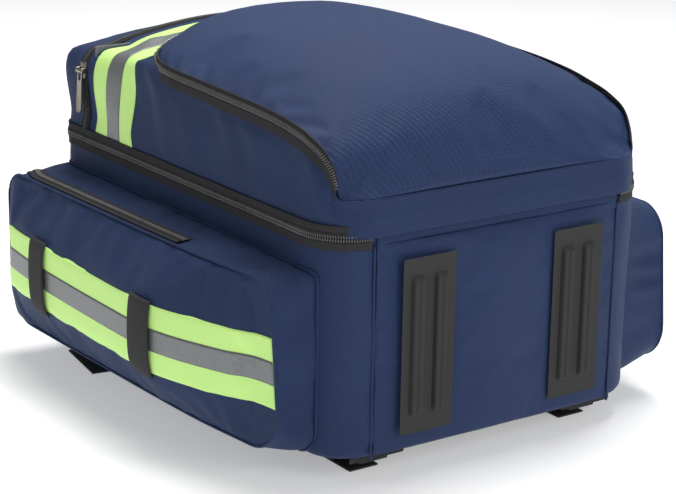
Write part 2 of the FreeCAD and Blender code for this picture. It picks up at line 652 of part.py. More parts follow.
def make_flap_pocket():
    """The slim organiser inside the front pocket, on the lining."""
    box_node("front_organiser", "dims.body_width - 2 * dims.mesh_inset", "dims.organiser_length",
             "dims.mesh_depth", "-dims.body_width / 2 + dims.mesh_inset", "dims.mesh_inset",
             f"{RIM_Z} + 1 + dims.cover_panel_thickness + dims.sewing_gap")


# ---- inside ---------------------------------------------------------------------------------------------
def make_boards():
    """The stiffening sheets behind the back and inside the feet end."""
    inset = "(dims.wall + dims.board_inset)"
    box_node("back_board", f"dims.body_width - 2 * {inset}", f"dims.body_length - 2 * {inset}",
             "dims.board_thickness", f"-dims.body_width / 2 + {inset}", inset, f"{BACK_Z} + dims.wall")
    low = f"{BACK_Z} + dims.wall + dims.board_thickness + 1"
    box_node("bottom_board", "2 * " + PANEL_HALF, "dims.board_thickness", "dims.tub_depth - 30",
             "-" + PANEL_HALF, "dims.wall", low)


def make_dividers():
    """The padded dividers that stand on the back board."""
    low = f"{BACK_Z} + dims.wall + dims.board_thickness"
    thick = "dims.divider_thickness"
    start = "dims.wall + dims.board_thickness + 2"
    box_node("divider_long", thick, f"dims.body_length - 2 * ({start})", "dims.divider_height",
             f"-{thick} / 2", start, low)
    thickness, height = size("divider_thickness"), size("divider_height")
    reach = half_width - size("wall") - 1.5 * thickness
    solids = []
    base = back_z + size("wall") + size("board_thickness")
    for side in SIDES.values():
        x0 = thickness / 2 + size("divider_gap")
        low_x, high_x = sorted((side * x0, side * (x0 + reach)))
        y = body_length / 2 + size("divider_shift") * side
        solids.append(slab(low_x, high_x, y, y + thickness, base, base + height))
    shape_node("divider_cross", Part.makeCompound(solids))


def make_elastic():
    """The elastic strip sewn along the far wall for vials and tools."""
    box_node("elastic_strip", "dims.elastic_length", "dims.elastic_thickness", "dims.elastic_height",
             "-dims.elastic_length / 2", "dims.body_length - dims.wall - dims.elastic_thickness",
             f"{BACK_Z} + dims.elastic_lift")


# ---- carrying handle ------------------------------------------------------------------------------------
def make_handle():
    """A rolled handle on two sewn tabs at the far end; its ends are balls on the swing axis."""
    r, reach, half = size("handle_radius"), size("handle_reach"), size("handle_span") / 2
    y = body_length + size("handle_tab") + size("handle_gap") + r
    z = back_z + size("handle_height")
    bend = reach * 0.6
    points = [Vector(-half, y, z), Vector(-half + bend * 0.3, y + reach - bend * 0.75, z),
              Vector(-half + bend * 1.4, y + reach, z)]
    left = Part.Arc(points[0], points[1], points[2]).toShape()
    mirrored = [Vector(-p.x, p.y, p.z) for p in points[::-1]]
    right = Part.Arc(*mirrored).toShape()
    path = Part.Wire([left, Part.makeLine(points[2], mirrored[0]), right])
    start = left.tangentAt(left.FirstParameter)
    ring = Part.Wire([Part.makeCircle(r, points[0], start)])
    grip = path.makePipeShell([ring], True, False)
    balls = [Part.makeSphere(r, Vector(side * half, y, z)) for side in SIDES.values()]
    shape_node("grab_handle", grip.fuse(balls))
    wide, tall, thick = 5 * r, 7 * r, size("handle_tab")
    tabs = []
    for side in SIDES.values():
        tab = slab(-wide / 2, wide / 2, body_length, body_length + thick, z - tall / 2, z + tall / 2)
        tabs.append(tab.translated(Vector(side * half, 0, 0)))
    shape_node("handle_tabs", Part.makeCompound(tabs))


# ---- sliders and pulls ----------------------------------------------------------------------------------
def slider_shapes():
    """A slider plate with two bridge ears, and a pull on a pin, lying on +Z = outwards and +X = along."""
    length, width = size("slider_length"), size("slider_width")
    thick, bridge, pin = size("slider_thickness"), size("bridge_height"), size("pin_radius")
    pull_length, pull_w, pull_t = size("pull_length"), size("pull_width"), size("pull_thickness")
    plate = slab(-length / 2, length / 2, -width / 2, width / 2, 0, thick)
    ears = [slab(-2.2, 2.2, side * (pull_w / 2 + 0.3) - (side < 0) * 1.2,
                 side * (pull_w / 2 + 0.3) + (side > 0) * 1.2, thick, thick + bridge) for side in (-1, 1)]
    axis_z = thick + bridge - pin - 0.6
    rod = Part.makeCylinder(pin, pull_w + 2.4, Vector(0, -pull_w / 2 - 1.2, axis_z), Vector(0, 1, 0))
    slider = plate.fuse(ears + [rod]).removeSplitter()
    eye = Part.makeCylinder(pin + 1.1, pull_w, Vector(0, -pull_w / 2, axis_z), Vector(0, 1, 0))
    tab = slab(0, pull_length, -pull_w / 2, pull_w / 2, axis_z - pull_t / 2, axis_z + pull_t / 2)
    window = slab(pin + 3, pin + 8, -pull_w / 2 + 1.6, pull_w / 2 - 1.6, 0, 20)
    bore = Part.makeCylinder(pin + 0.15, pull_w + 2, Vector(0, -pull_w / 2 - 1, axis_z), Vector(0, 1, 0))
    pull = eye.fuse(tab).cut([window, bore])
    return slider, pull


def make_slider(name, where, outward, run):
    """Places one slider and its pull: outward is the wall's normal, run the way the pull lies."""
    slider, pull = slider_shapes()
    across = outward.cross(run)
    turn = Rotation(run, across, outward, "XYZ")
    for kind, shape in (("slider", slider), ("pull", pull)):
        item = shape.copy()
        item.Placement = Placement(where, turn)
        shape_node(f"{name}_{kind}", Part.makeCompound([item]))


def make_sliders():
    """The sliders, each parked at the closed end of its run."""
    thick, gap, length = size("tape_thickness"), size("slider_gap"), size("slider_length")
    x, y, z = Vector(1, 0, 0), Vector(0, 1, 0), Vector(0, 0, 1)
    for name, side in SIDES.items():
        at = Vector(side * (length / 2 + 1), body_length + thick + gap, rim_z)
        make_slider(f"main_{name}", at, y, x * side)
    far = flap_reach + thick + gap
    for name, side in SIDES.items():
        height = rim_z + size("cover_side") + size("cover_crown") + size("flap_slider_lift")
        at = Vector(side * (length / 2 + 1), far, height)
        make_slider(f"flap_{name}", at, y, x * side)
    share = size("top_slider_rise") / size("cover_side")
    down = Vector(-size("cover_lean"), 0, -size("cover_side")).normalize()
    wall_x = half_width - size("cover_lean") * share + thick + gap
    at = Vector(-wall_x, body_length - size("top_zip_from_end"), rim_z + share * size("cover_side"))
    make_slider("top", at, y.cross(down), down)
    for name, side in SIDES.items():
        top = back_z + size("pocket_low") + size("pocket_height")
        at = Vector(side * (half_width + size("pocket_depth") - size("pocket_zip_inset")),
                    body_length - size("pocket_end_inset") + thick + gap, top - size("pocket_slider_drop"))
        make_slider(f"{name}_pocket", at, y, -z)


make_tub()
make_back_pad()
make_yoke()
make_bottom_panel()
make_piping()
for strap_name, strap_side in SIDES.items():
    make_shoulder_strap(strap_name, strap_side)
    make_ladder_lock(strap_name, strap_side)
    make_adjuster_webbing(strap_name, strap_side)
    make_lifter_webbing(strap_name, strap_side)
    make_strap_anchor(strap_name, strap_side)
    make_foot(strap_name, strap_side)
    make_pocket(strap_name, strap_side)
make_main_zip()
make_cover()
make_cover_band()
make_top_zip()
make_partition()
make_cover_panel()
make_cover_mesh()
make_flap_zip_lower()
make_flap()
make_flap_pocket()
make_boards()
make_dividers()
make_elastic()
make_handle()
make_sliders()

doc.recompute()
for item in doc.Objects:
    if {"Invalid", "Error"} & set(item.State):
        raise RuntimeError(f"{item.Label} failed: {item.State}")
faults = [item.Label for item in nodes
          if item.Shape.isNull() or not item.Shape.isValid() or not item.Shape.Solids]
if faults:
    raise RuntimeError(f"no valid solid in {faults}")
os.makedirs("parts", exist_ok=True)
for item in nodes:
    item.Shape.exportStep(f"parts/{item.Label}.step")
    box = item.Shape.optimalBoundingBox(False)
    print(f"{item.Label:28s} {len(item.Shape.Solids)} solid(s), X {box.XMin:.1f}..{box.XMax:.1f}, "
          f"Y {box.YMin:.1f}..{box.YMax:.1f}, Z {box.ZMin:.1f}..{box.ZMax:.1f}")
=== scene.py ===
"""A navy trauma backpack lying on its back: its cloth, padding, zips, trimmings and metal, dressed around the
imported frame. Lengths are metres. +X is the wearer's width, +Y runs from the feet end to the handle end."""
import logging
import math
from dataclasses import dataclass
from enum import Enum
from typing import Callable, Iterable, Sequence

import bmesh
import bpy
from mathutils import Matrix, Vector, noise
from mathutils.bvhtree import BVHTree


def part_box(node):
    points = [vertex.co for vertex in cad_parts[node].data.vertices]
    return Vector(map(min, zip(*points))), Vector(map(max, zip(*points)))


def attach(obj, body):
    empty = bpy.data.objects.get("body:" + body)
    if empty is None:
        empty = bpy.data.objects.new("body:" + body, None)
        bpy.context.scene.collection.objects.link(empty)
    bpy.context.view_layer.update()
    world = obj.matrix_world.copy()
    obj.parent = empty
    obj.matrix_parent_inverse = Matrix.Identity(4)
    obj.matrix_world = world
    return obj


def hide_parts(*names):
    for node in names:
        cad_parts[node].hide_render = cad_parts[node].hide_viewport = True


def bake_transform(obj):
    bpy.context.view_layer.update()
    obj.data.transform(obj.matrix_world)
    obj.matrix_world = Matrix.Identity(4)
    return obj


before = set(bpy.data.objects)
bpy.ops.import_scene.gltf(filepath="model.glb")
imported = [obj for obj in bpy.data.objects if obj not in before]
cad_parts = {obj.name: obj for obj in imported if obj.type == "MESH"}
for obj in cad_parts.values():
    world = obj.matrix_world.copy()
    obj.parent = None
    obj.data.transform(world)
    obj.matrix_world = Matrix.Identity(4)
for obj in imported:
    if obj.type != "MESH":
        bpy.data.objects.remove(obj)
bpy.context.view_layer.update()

LOG = logging.getLogger("trauma_backpack")
MM = 0.001
SIDES = {"left": -1, "right": 1}
X_AXIS, Y_AXIS, Z_AXIS = Vector((1, 0, 0)), Vector((0, 1, 0)), Vector((0, 0, 1))
Column = list[Vector]
CLOTH_FRAMES = 20
CLOTH_STIFFNESS = 18
CLOTH_BENDING = 1.2
CLOTH_MASS = 0.25
CLOTH_STEPS = 6


# ---- small mathematics ----------------------------------------------------------------------------------
def mix(a: float, b: float, share: float) -> float:
    """The value that share of the way from a to b."""
    return a + (b - a) * share


def smooth(share: float) -> float:
    """A smooth step from 0 to 1."""
    share = min(1.0, max(0.0, share))
    return share * share * (3 - 2 * share)


def swell(share: float, fullness: float, steepness: float) -> float:
    """How far a stuffed surface has risen, from its seam (0) to its middle (1).

    Args:
        share: distance from the seam, as a share of the way to the middle.
        fullness: how soon the surface levels out.
        steepness: 1 for a straight start, 2 for an upright one.
    Returns:
        The rise, from 0 to 1.
    """
    share = min(1.0, max(0.0, share))
    return (1 - (1 - share) ** fullness) ** (1 / steepness)


def through(knots: Sequence[tuple[float, float]], at: float) -> float:
    """A smooth curve through a few knots, flat beyond both ends.

    Args:
        knots: pairs of place and value, in order.
        at: the place.
    Returns:
        The value there.
    """
    if at <= knots[0][0]:
        return knots[0][1]
    if at >= knots[-1][0]:
        return knots[-1][1]
    i = next(k for k in range(1, len(knots)) if at <= knots[k][0]) - 1
    (x0, v0), (x1, v1) = knots[i], knots[i + 1]
    before = knots[max(i - 1, 0)]
    after = knots[min(i + 2, len(knots) - 1)]
    slope0 = (v1 - before[1]) / max(x1 - before[0], 1e-9)
    slope1 = (after[1] - v0) / max(after[0] - x0, 1e-9)
    h, t = x1 - x0, (at - x0) / (x1 - x0)
    return ((2 * t ** 3 - 3 * t ** 2 + 1) * v0 + (t ** 3 - 2 * t ** 2 + t) * h * slope0
            + (3 * t ** 2 - 2 * t ** 3) * v1 + (t ** 3 - t ** 2) * h * slope1)


def millimetres(*knots: tuple[float, float]) -> list[tuple[float, float]]:
    """Knots given in millimetres, as metres."""
    return [(a * MM, b * MM) for a, b in knots]


def pucker(along: float, away: float, depth: float, wavelength: float, reach: float, seed: float) -> float:
    """The small folds that a sewn seam draws into cloth.

    Args:
        along: distance along the seam.
        away: distance from the seam.
        depth: depth of the folds at the seam.
        wavelength: their usual spacing.
        reach: how far from the seam they fade.
        seed: tells one seam's folds from another's.
    Returns:
        The displacement along the cloth's normal.
    """
    drift = 1.6 * noise.noise(Vector((along / (2.5 * wavelength), seed, 0)))
    size = 0.55 + 0.9 * noise.noise(Vector((along / (3 * wavelength), seed + 7, 1)))
    wave = math.sin(2 * math.pi * (along / wavelength + drift))
    return depth * wave * max(size, 0) * math.exp(-away / reach)


def slack(point: Vector, depth: float, scale: float, seed: float) -> float:
    """Broad unevenness of loose cloth at a point."""
    return depth * noise.noise(point / scale + Vector((seed, 3 * seed, 0)))


# ---- finishes -------------------------------------------------------------------------------------------
class Weave(Enum):
    """How a cloth's threads cross."""

    TWILL = "twill"
    PLAIN = "plain"
    RIB = "rib"
    MESH = "mesh"


class Nodes:
    """A short way to wire a material's nodes."""

    def __init__(self, material: bpy.types.Material) -> None:
        """Empties the material and adds its output."""
        material.use_nodes = True
        self.tree = material.node_tree
        self.tree.nodes.clear()
        self.output = self.tree.nodes.new("ShaderNodeOutputMaterial")

    def add(self, kind: str, links: dict | None = None, **settings: object) -> bpy.types.Node:
        """Adds a node.

        Args:
            kind: the node's type, without its ShaderNode prefix.
            links: input name or number to a socket or a plain value.
            settings: the node's own properties.
        Returns:
            The node.
        """
        node = self.tree.nodes.new("ShaderNode" + kind)
        for name, value in settings.items():
            setattr(node, name, value)
        for name, value in (links or {}).items():
            if isinstance(value, bpy.types.NodeSocket):
                self.tree.links.new(value, node.inputs[name])
            else:
                node.inputs[name].default_value = value
        return node

    def math(self, operation: str, *values: object) -> bpy.types.NodeSocket:
        """One arithmetic step on sockets or numbers."""
        return self.add("Math", dict(enumerate(values)), operation=operation).outputs[0]

    def noise(self, vector: bpy.types.NodeSocket, scale: float, detail: float = 2) -> bpy.types.NodeSocket:
        """Noise between 0 and 1 at a scale, in features to the metre."""
        found = self.add("TexNoise", {"Vector": vector, "Scale": scale, "Detail": detail})
        return found.outputs["Fac"]

    def stretch(self, vector: bpy.types.NodeSocket, scale: Sequence[float]) -> bpy.types.NodeSocket:
        """The vector scaled on each axis."""
        return self.add("Mapping", {"Vector": vector, "Scale": tuple(scale)}).outputs[0]

    def tint(self, colour: Sequence[float], amount: bpy.types.NodeSocket, low: float,
             high: float) -> bpy.types.NodeSocket:
        """The colour darkened or lightened by an amount from 0 to 1.

        Args:
            colour: red, green and blue, linear.
            amount: 0 gives low times the colour, 1 gives high times it.
            low: brightness at 0.
            high: brightness at 1.
        Returns:
            The colour's socket.
        """
        dark = tuple(low * c for c in colour) + (1,)
        light = tuple(min(high * c, 1) for c in colour) + (1,)
        ramp = self.add("ValToRGB", {"Fac": amount})
        ramp.color_ramp.elements[0].color = dark
        ramp.color_ramp.elements[1].color = light
        return ramp.outputs["Color"]

    def finish(self, shader: bpy.types.Node) -> None:
        """Joins the shader to the output."""
        self.tree.links.new(shader.outputs[0], self.output.inputs["Surface"])


@dataclass(frozen=True)
class ClothFinish:
    """A woven cloth, whose threads follow the piece's own flat pattern."""

    name: str
    colour: tuple[float, float, float]
    weave: Weave = Weave.TWILL
    pitch: float = 1.1 * MM
    roughness: float = 0.6
    sheen: float = 0.3
    relief: float = 0.5
    # Range of the colour's variation: random mottling, and the painted shade between the threads.
    mottle_and_thread_shade: float = 0.16
    # Emission strength: a painted glow. Only the lime tape has it.
    glow: float = 0.0
    shine: float = 0.3

    def threads(self, nodes: Nodes, flat: bpy.types.NodeSocket) -> bpy.types.NodeSocket:
        """The height of the crossing threads.

        Args:
            nodes: the material's nodes.
            flat: the flat pattern's coordinates, in metres.
        Returns:
            A socket between 0 and 1.
        """
        parts = nodes.add("SeparateXYZ", {"Vector": flat})
        turns = math.pi / self.pitch
        u = nodes.math("MULTIPLY", parts.outputs[0], turns)
        v = nodes.math("MULTIPLY", parts.outputs[1], turns)
        warp = nodes.math("ABSOLUTE", nodes.math("SINE", u))
        weft = nodes.math("ABSOLUTE", nodes.math("SINE", v))
        if self.weave is Weave.RIB:
            return nodes.math("MAXIMUM", nodes.math("MULTIPLY", warp, 0.8), nodes.math("MULTIPLY", weft, 0.5))
        if self.weave is Weave.MESH:
            return nodes.math("MAXIMUM", nodes.math("POWER", warp, 4), nodes.math("POWER", weft, 4))
        if self.weave is Weave.PLAIN:
            over = nodes.math("MULTIPLY", nodes.math("COSINE", u), nodes.math("COSINE", v))
        else:
            over = nodes.math("SINE", nodes.math("MULTIPLY", nodes.math("ADD", u, v), 0.5))
        share = nodes.math("MULTIPLY_ADD", over, 0.5, 0.5)
        rest = nodes.math("SUBTRACT", 1, share)
        return nodes.math("ADD", nodes.math("MULTIPLY", warp, share), nodes.math("MULTIPLY", weft, rest))

    def material(self) -> bpy.types.Material:
        """The cloth's material."""
        material = bpy.data.materials.new(self.name)
        nodes = Nodes(material)
        flat = nodes.add("UVMap", uv_map="flat").outputs[0]
        place = nodes.add("TexCoord").outputs["Object"]
        height = self.threads(nodes, flat)
        slubs = nodes.noise(nodes.stretch(flat, (60, 900, 1)), 1.0)
        cross_slubs = nodes.noise(nodes.stretch(flat, (900, 60, 1)), 1.0)
        broad = nodes.noise(place, 14, 3)
        level = nodes.math("ADD", nodes.math("MULTIPLY", slubs, 0.28),
                           nodes.math("MULTIPLY", cross_slubs, 0.28))
        # Thread height also sets the colour: crests lighter, hollows between threads darker. That is painted
        # shade of the weave; the slub and broad noise is random tone.
        level = nodes.math("ADD", level, nodes.math("MULTIPLY", height, 0.3))
        level = nodes.math("ADD", level, nodes.math("MULTIPLY", broad, 0.34))
        level = nodes.math("SUBTRACT", level, 0.1)
        colour = nodes.tint(self.colour, level, 1 - 2.2 * self.mottle_and_thread_shade, 1 + 2.2 * self.mottle_and_thread_shade)
        fine = nodes.math("ADD", height, nodes.math("MULTIPLY", slubs, 0.6))
        bump = nodes.add("Bump", {"Height": fine, "Strength": self.relief, "Distance": 0.25 * self.pitch})
        rough = nodes.math("MULTIPLY_ADD", broad, 0.16, self.roughness - 0.08)
        shader = nodes.add("BsdfPrincipled", {
            "Base Color": colour, "Roughness": rough, "Normal": bump.outputs[0], "Sheen Weight": self.sheen,
            "Sheen Roughness": 0.4, "Sheen Tint": tuple(min(1, 2.2 * c + 0.25) for c in self.colour) + (1,),
            "Specular IOR Level": self.shine, "Emission Color": self.colour + (1,),
            "Emission Strength": self.glow})
        nodes.finish(shader)
        return material


@dataclass(frozen=True)
class HardFinish:
    """A moulded, cast or drawn finish: rubber, plastic or metal."""

    name: str
    colour: tuple[float, float, float]
    roughness: float = 0.5
    metallic: float = 0.0
    grain: float = 900.0
    relief: float = 0.15
    edge_lightening: float = 1.5
    shine: float = 0.5

    def material(self) -> bpy.types.Material:
        """The finish's material, with fine grain, smudges and lighter edges: worn edges, and on the nylon coil
        painted highlight.
        """
        material = bpy.data.materials.new(self.name)
        nodes = Nodes(material)
        place = nodes.add("TexCoord").outputs["Object"]
        grain = nodes.noise(place, self.grain, 3)
        smudge = nodes.noise(place, 45, 3)
        # Pointy edges are lightened: edge wear, and on the coil mostly painted highlight.
        edge = nodes.add("NewGeometry").outputs["Pointiness"]
        edge = nodes.add("MapRange", {"Value": edge, "From Min": 0.5, "From Max": 0.62, "To Min": 0.0,
                                      "To Max": 0.55}).outputs[0]
        level = nodes.math("ADD", nodes.math("MULTIPLY_ADD", smudge, 0.5, 0.1), edge)
        colour = nodes.tint(self.colour, level, 0.75, self.edge_lightening)
        rough = nodes.math("MULTIPLY_ADD", smudge, 0.25, self.roughness - 0.12)
        bump = nodes.add("Bump", {"Height": grain, "Strength": self.relief, "Distance": 0.1 * MM})
        shader = nodes.add("BsdfPrincipled", {"Base Color": colour, "Roughness": rough,
                                              "Metallic": self.metallic, "Normal": bump.outputs[0],
                                              "Specular IOR Level": self.shine})
        nodes.finish(shader)
        return material


@dataclass(frozen=True)
class BeadFinish:
    """Silver reflective tape: glass beads under a fine honeycomb of seals."""

    name: str
    colour: tuple[float, float, float]

    def material(self) -> bpy.types.Material:
        """The tape's material."""
        material = bpy.data.materials.new(self.name)
        nodes = Nodes(material)
        flat = nodes.add("UVMap", uv_map="flat").outputs[0]
        cells = nodes.add("TexVoronoi", {"Vector": flat, "Scale": 420.0}, feature="DISTANCE_TO_EDGE")
        seal = nodes.math("SMOOTH_MIN", nodes.math("MULTIPLY", cells.outputs["Distance"], 6), 1.0, 0.2)
        broad = nodes.noise(nodes.stretch(flat, (38, 6, 1)), 1.0, 3)
        level = nodes.math("ADD", nodes.math("MULTIPLY", seal, 0.35), nodes.math("MULTIPLY", broad, 0.6))
        colour = nodes.tint(self.colour, level, 0.72, 1.3)
        bump = nodes.add("Bump", {"Height": seal, "Strength": 0.2, "Distance": 0.1 * MM})
        rough = nodes.math("MULTIPLY_ADD", broad, 0.2, 0.34)
        shader = nodes.add("BsdfPrincipled", {"Base Color": colour, "Roughness": rough, "Metallic": 0.35,
                                              "Normal": bump.outputs[0], "Specular IOR Level": 0.6})
        nodes.finish(shader)
        return material


class Finish(Enum):
    """The bag's finishes, each made once."""

    NAVY = ClothFinish("navy_twill", (0.0185, 0.0375, 0.107), sheen=0.1, relief=1.0, shine=0.22)
    LINING = ClothFinish("grey_lining", (0.16, 0.17, 0.18), Weave.PLAIN, 0.9 * MM, 0.7, 0.1)
    PADDING = ClothFinish("spacer_mesh", (0.02, 0.021, 0.024), Weave.MESH, 2.4 * MM, 0.75, 0.15, 0.8)
    NET = ClothFinish("pocket_net", (0.03, 0.03, 0.034), Weave.MESH, 2.0 * MM, 0.6, 0.1, 1.0)
    TAPE = ClothFinish("zip_tape", (0.006, 0.006, 0.0065), Weave.RIB, 0.8 * MM, 0.66, 0.0, 0.5, 0.16,
                       0.0, 0.1)
    WEBBING = ClothFinish("black_webbing", (0.007, 0.007, 0.0075), Weave.RIB, 1.3 * MM, 0.62, 0.0, 0.8,
                          0.16, 0.0, 0.12)
    # The lime tape glows a little by emission: painted glow.
    LIME = ClothFinish("lime_tape", (0.6, 0.93, 0.28), Weave.PLAIN, 0.7 * MM, 0.55, 0.0, 0.25, 0.035,
                       0.1)
    SILVER = BeadFinish("silver_tape", (0.2, 0.21, 0.215))
    RUBBER = HardFinish("foot_rubber", (0.006, 0.006, 0.006), 0.42, 0.0, 1400.0, 0.3, 1.8, 0.25)
    PLASTIC = HardFinish("buckle_plastic", (0.012, 0.012, 0.013), 0.42, 0.0, 2000.0, 0.12, 1.7)
    # The coil's light grey colour and strong edge lightening are painted highlight, standing in for the
    # reflections along the glossy coil.
    COIL = HardFinish("nylon_coil", (0.05, 0.05, 0.047), 0.3, 0.0, 3000.0, 0.05, 2.6, 0.5)
    METAL = HardFinish("gunmetal", (0.23, 0.2, 0.17), 0.3, 1.0, 2500.0, 0.08, 2.2)
    BOARD = HardFinish("stiffener_board", (0.55, 0.56, 0.56), 0.55, 0.0, 300.0, 0.2, 1.1)
    NAVY_THREAD = HardFinish("navy_thread", (0.018, 0.028, 0.075), 0.7, 0.0, 4000.0, 0.1, 1.3)
    GREY_THREAD = HardFinish("grey_thread", (0.09, 0.09, 0.095), 0.7, 0.0, 4000.0, 0.1, 1.3)

    @property
    def material(self) -> bpy.types.Material:
        """The finish's material, made on its first use."""
        return bpy.data.materials.get(self.value.name) or self.value.material()


# ---- mesh helpers ---------------------------------------------------------------------------------------
def woven(columns: Sequence[Column], flat: Sequence[Sequence[tuple[float, float]]] | None = None,
          rows_finish: Callable[[int], int] | None = None) -> bmesh.types.BMesh:
    """A sheet of quads through columns of points, with the flat pattern as its UV map.

    Args:
        columns: equally long lists of points.
        flat: pattern coordinates to match; measured along the sheet where not given.
        rows_finish: gives the material number of each row of faces.
    Returns:
        The sheet, as a bmesh.
    """
    across, along = len(columns) - 1, len(columns[0]) - 1
    bm = bmesh.new()
    bmesh.ops.create_grid(bm, x_segments=across, y_segments=along, size=0.5)
    if flat is None:
        flat = measured(columns)
    layer = bm.loops.layers.uv.new("flat")
    where = {v: (round((v.co.x + 0.5) * across), round((v.co.y + 0.5) * along)) for v in bm.verts}
    for face in bm.faces:
        spots = [where[loop.vert] for loop in face.loops]
        for loop, (i, j) in zip(face.loops, spots):
            loop[layer].uv = flat[i][j]
        if rows_finish is not None:
            face.material_index = rows_finish(min(j for _, j in spots))
    for vert, (i, j) in where.items():
        vert.co = columns[i][j]
    return bm


def measured(columns: Sequence[Column]) -> list[list[tuple[float, float]]]:
    """Flat pattern coordinates, measured along the middle row and up each column."""
    middle = len(columns[0]) // 2
    found, u = [], 0.0
    for i, column in enumerate(columns):
        u += (column[middle] - columns[i - 1][middle]).length if i else 0.0
        v, line = 0.0, []
        for j, point in enumerate(column):
            v += (point - column[j - 1]).length if j else 0.0
            line.append((u, v))
        found.append(line)
    return found


def closed(bm: bmesh.types.BMesh, gap: float = 0.02 * MM) -> bmesh.types.BMesh:
    """Merges the two ends of a sheet that meets itself, and turns its faces outwards."""
    bmesh.ops.remove_doubles(bm, verts=bm.verts, dist=gap)
    bmesh.ops.recalc_face_normals(bm, faces=bm.faces)
    return bm


def facing(bm: bmesh.types.BMesh, outward: Callable[[Vector], Vector]) -> bmesh.types.BMesh:
    """Turns an open sheet so that most of its faces look outwards.

    Args:
        bm: the sheet.
        outward: the outward direction at a point.
    Returns:
        The sheet.
    """
    bm.normal_update()
    vote = sum(face.normal.dot(outward(face.calc_center_median())) * face.calc_area() for face in bm.faces)
    if vote < 0:
        bmesh.ops.reverse_faces(bm, faces=bm.faces)
    return bm


def capped(bm: bmesh.types.BMesh) -> bmesh.types.BMesh:
    """Closes a tube's open ends and turns its faces outwards."""
    bmesh.ops.holes_fill(bm, edges=[edge for edge in bm.edges if edge.is_boundary], sides=0)
    bmesh.ops.recalc_face_normals(bm, faces=bm.faces)
    return bm


def painted(bm: bmesh.types.BMesh, number: int) -> bmesh.types.BMesh:
    """Gives every face the same one of its piece's materials."""
    for face in bm.faces:
        face.material_index = number
    return bm


def ring_loft(rings: Sequence[Column]) -> bmesh.types.BMesh:
    """A closed tube of quads through rings of points, each end closed by one face."""
    columns = [list(ring) + [ring[0]] for ring in rings]
    bm = woven(columns)
    bmesh.ops.remove_doubles(bm, verts=bm.verts, dist=0.01 * MM)
    return capped(bm)


def tube(path: Sequence[Vector], radius: float | Sequence[float], sides: int = 10,
         flatten: float = 1.0) -> bmesh.types.BMesh:
    """A round or oval bar along a path.

    Args:
        path: its centre line.
        radius: its radius, or one for each point.
        sides: how many faces go round it.
        flatten: its height as a share of its width.
    Returns:
        The bar.
    """
    rings, up = [], Z_AXIS
    for i, point in enumerate(path):
        ahead = (path[min(i + 1, len(path) - 1)] - path[max(i - 1, 0)]).normalized()
        side = ahead.cross(up if abs(ahead.dot(up)) < 0.95 else X_AXIS).normalized()
        over = side.cross(ahead)
        r = radius if isinstance(radius, float) else radius[i]
        rings.append([point + side * (r * math.cos(a)) + over * (r * flatten * math.sin(a))
                      for a in (2 * math.pi * k / sides for k in range(sides))])
    return ring_loft(rings)


def block(low: Vector, high: Vector, radius: float, segments: int = 2) -> bmesh.types.BMesh:
    """A block between two corners with rounded edges."""
    bm = bmesh.new()
    bmesh.ops.create_cube(bm, size=1)
    for vert in bm.verts:
        vert.co = Vector(mix(a, b, c + 0.5) for a, b, c in zip(low, high, vert.co))
    bmesh.ops.bevel(bm, geom=bm.edges[:], offset=radius, segments=segments, profile=0.5, affect="EDGES",
                    material=-1)
    return bm


def joined(parts: Iterable[bmesh.types.BMesh]) -> bmesh.types.BMesh:
    """Several meshes as one, the parts freed."""
    whole = bmesh.new()
    for part in parts:
        scratch = bpy.data.meshes.new("scratch")
        part.to_mesh(scratch)
        whole.from_mesh(scratch)
        bpy.data.meshes.remove(scratch)
        part.free()
    return whole


def beads(bm: bmesh.types.BMesh, places: Iterable[Matrix]) -> bmesh.types.BMesh:
    """Adds a small rounded bead at each place, its size and lean in the matrix."""
    for place in places:
        bmesh.ops.create_icosphere(bm, subdivisions=1, radius=1.0, matrix=place)
    return bm


def axes(along: Vector, outward: Vector, at: Vector) -> Matrix:
    """A frame at a point: X along, Z outward."""
    along = along.normalized()
    across = outward.cross(along).normalized()
    outward = along.cross(across)
    turn = Matrix((along, across, outward)).transposed().to_4x4()
    return Matrix.Translation(at) @ turn


def length_of(path: Sequence[Vector]) -> float:
    """The length of a line of points."""
    return sum((b - a).length for a, b in zip(path, path[1:]))


def even(path: Sequence[Vector], step: float) -> Column:
    """Points a step apart along a line of points."""
    found, left = [path[0].copy()], step
    for a, b in zip(path, path[1:]):
        run, done = (b - a).length, 0.0
        while run - done >= left:
            done += left
            found.append(a.lerp(b, done / run))
            left = step
        left -= run - done
    return found


def respaced(path: Sequence[Vector], cells: int) -> Column:
    """The line of points as equally long cells, its last point kept."""
    found = even(path, length_of(path) / cells)[:cells]
    return found + [path[-1].copy() for _ in range(cells + 1 - len(found))]


@dataclass(frozen=True)
class Role:
    """Where a piece belongs: its body, its slot, and the frame's nodes that it stands for."""

    body: str
    slot: str
    nodes: tuple[str, ...] = ()


def make_object(name: str, bm: bmesh.types.BMesh, finishes: Sequence[Finish]) -> bpy.types.Object:
    """A smooth-shaded object from a bmesh, which is freed."""
    mesh = bpy.data.meshes.new(name)
    bm.to_mesh(mesh)
    bm.free()
    mesh.shade_smooth()
    for finish in finishes:
        mesh.materials.append(finish.material)
    piece = bpy.data.objects.new(name, mesh)
    bpy.context.scene.collection.objects.link(piece)
    return piece


def settle(piece: bpy.types.Object, role: Role) -> bpy.types.Object:
    """Gives a finished piece its body, hides the frame's nodes that it stands for, and reports it.

    Args:
        piece: the finished piece.
        role: where it belongs.
    Returns:
        The piece.
    """
    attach(piece, role.body)
    if role.nodes:
        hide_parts(*role.nodes)
    LOG.info("%-28s %6d faces on %s", piece.name, len(piece.data.polygons), role.body)
    return piece


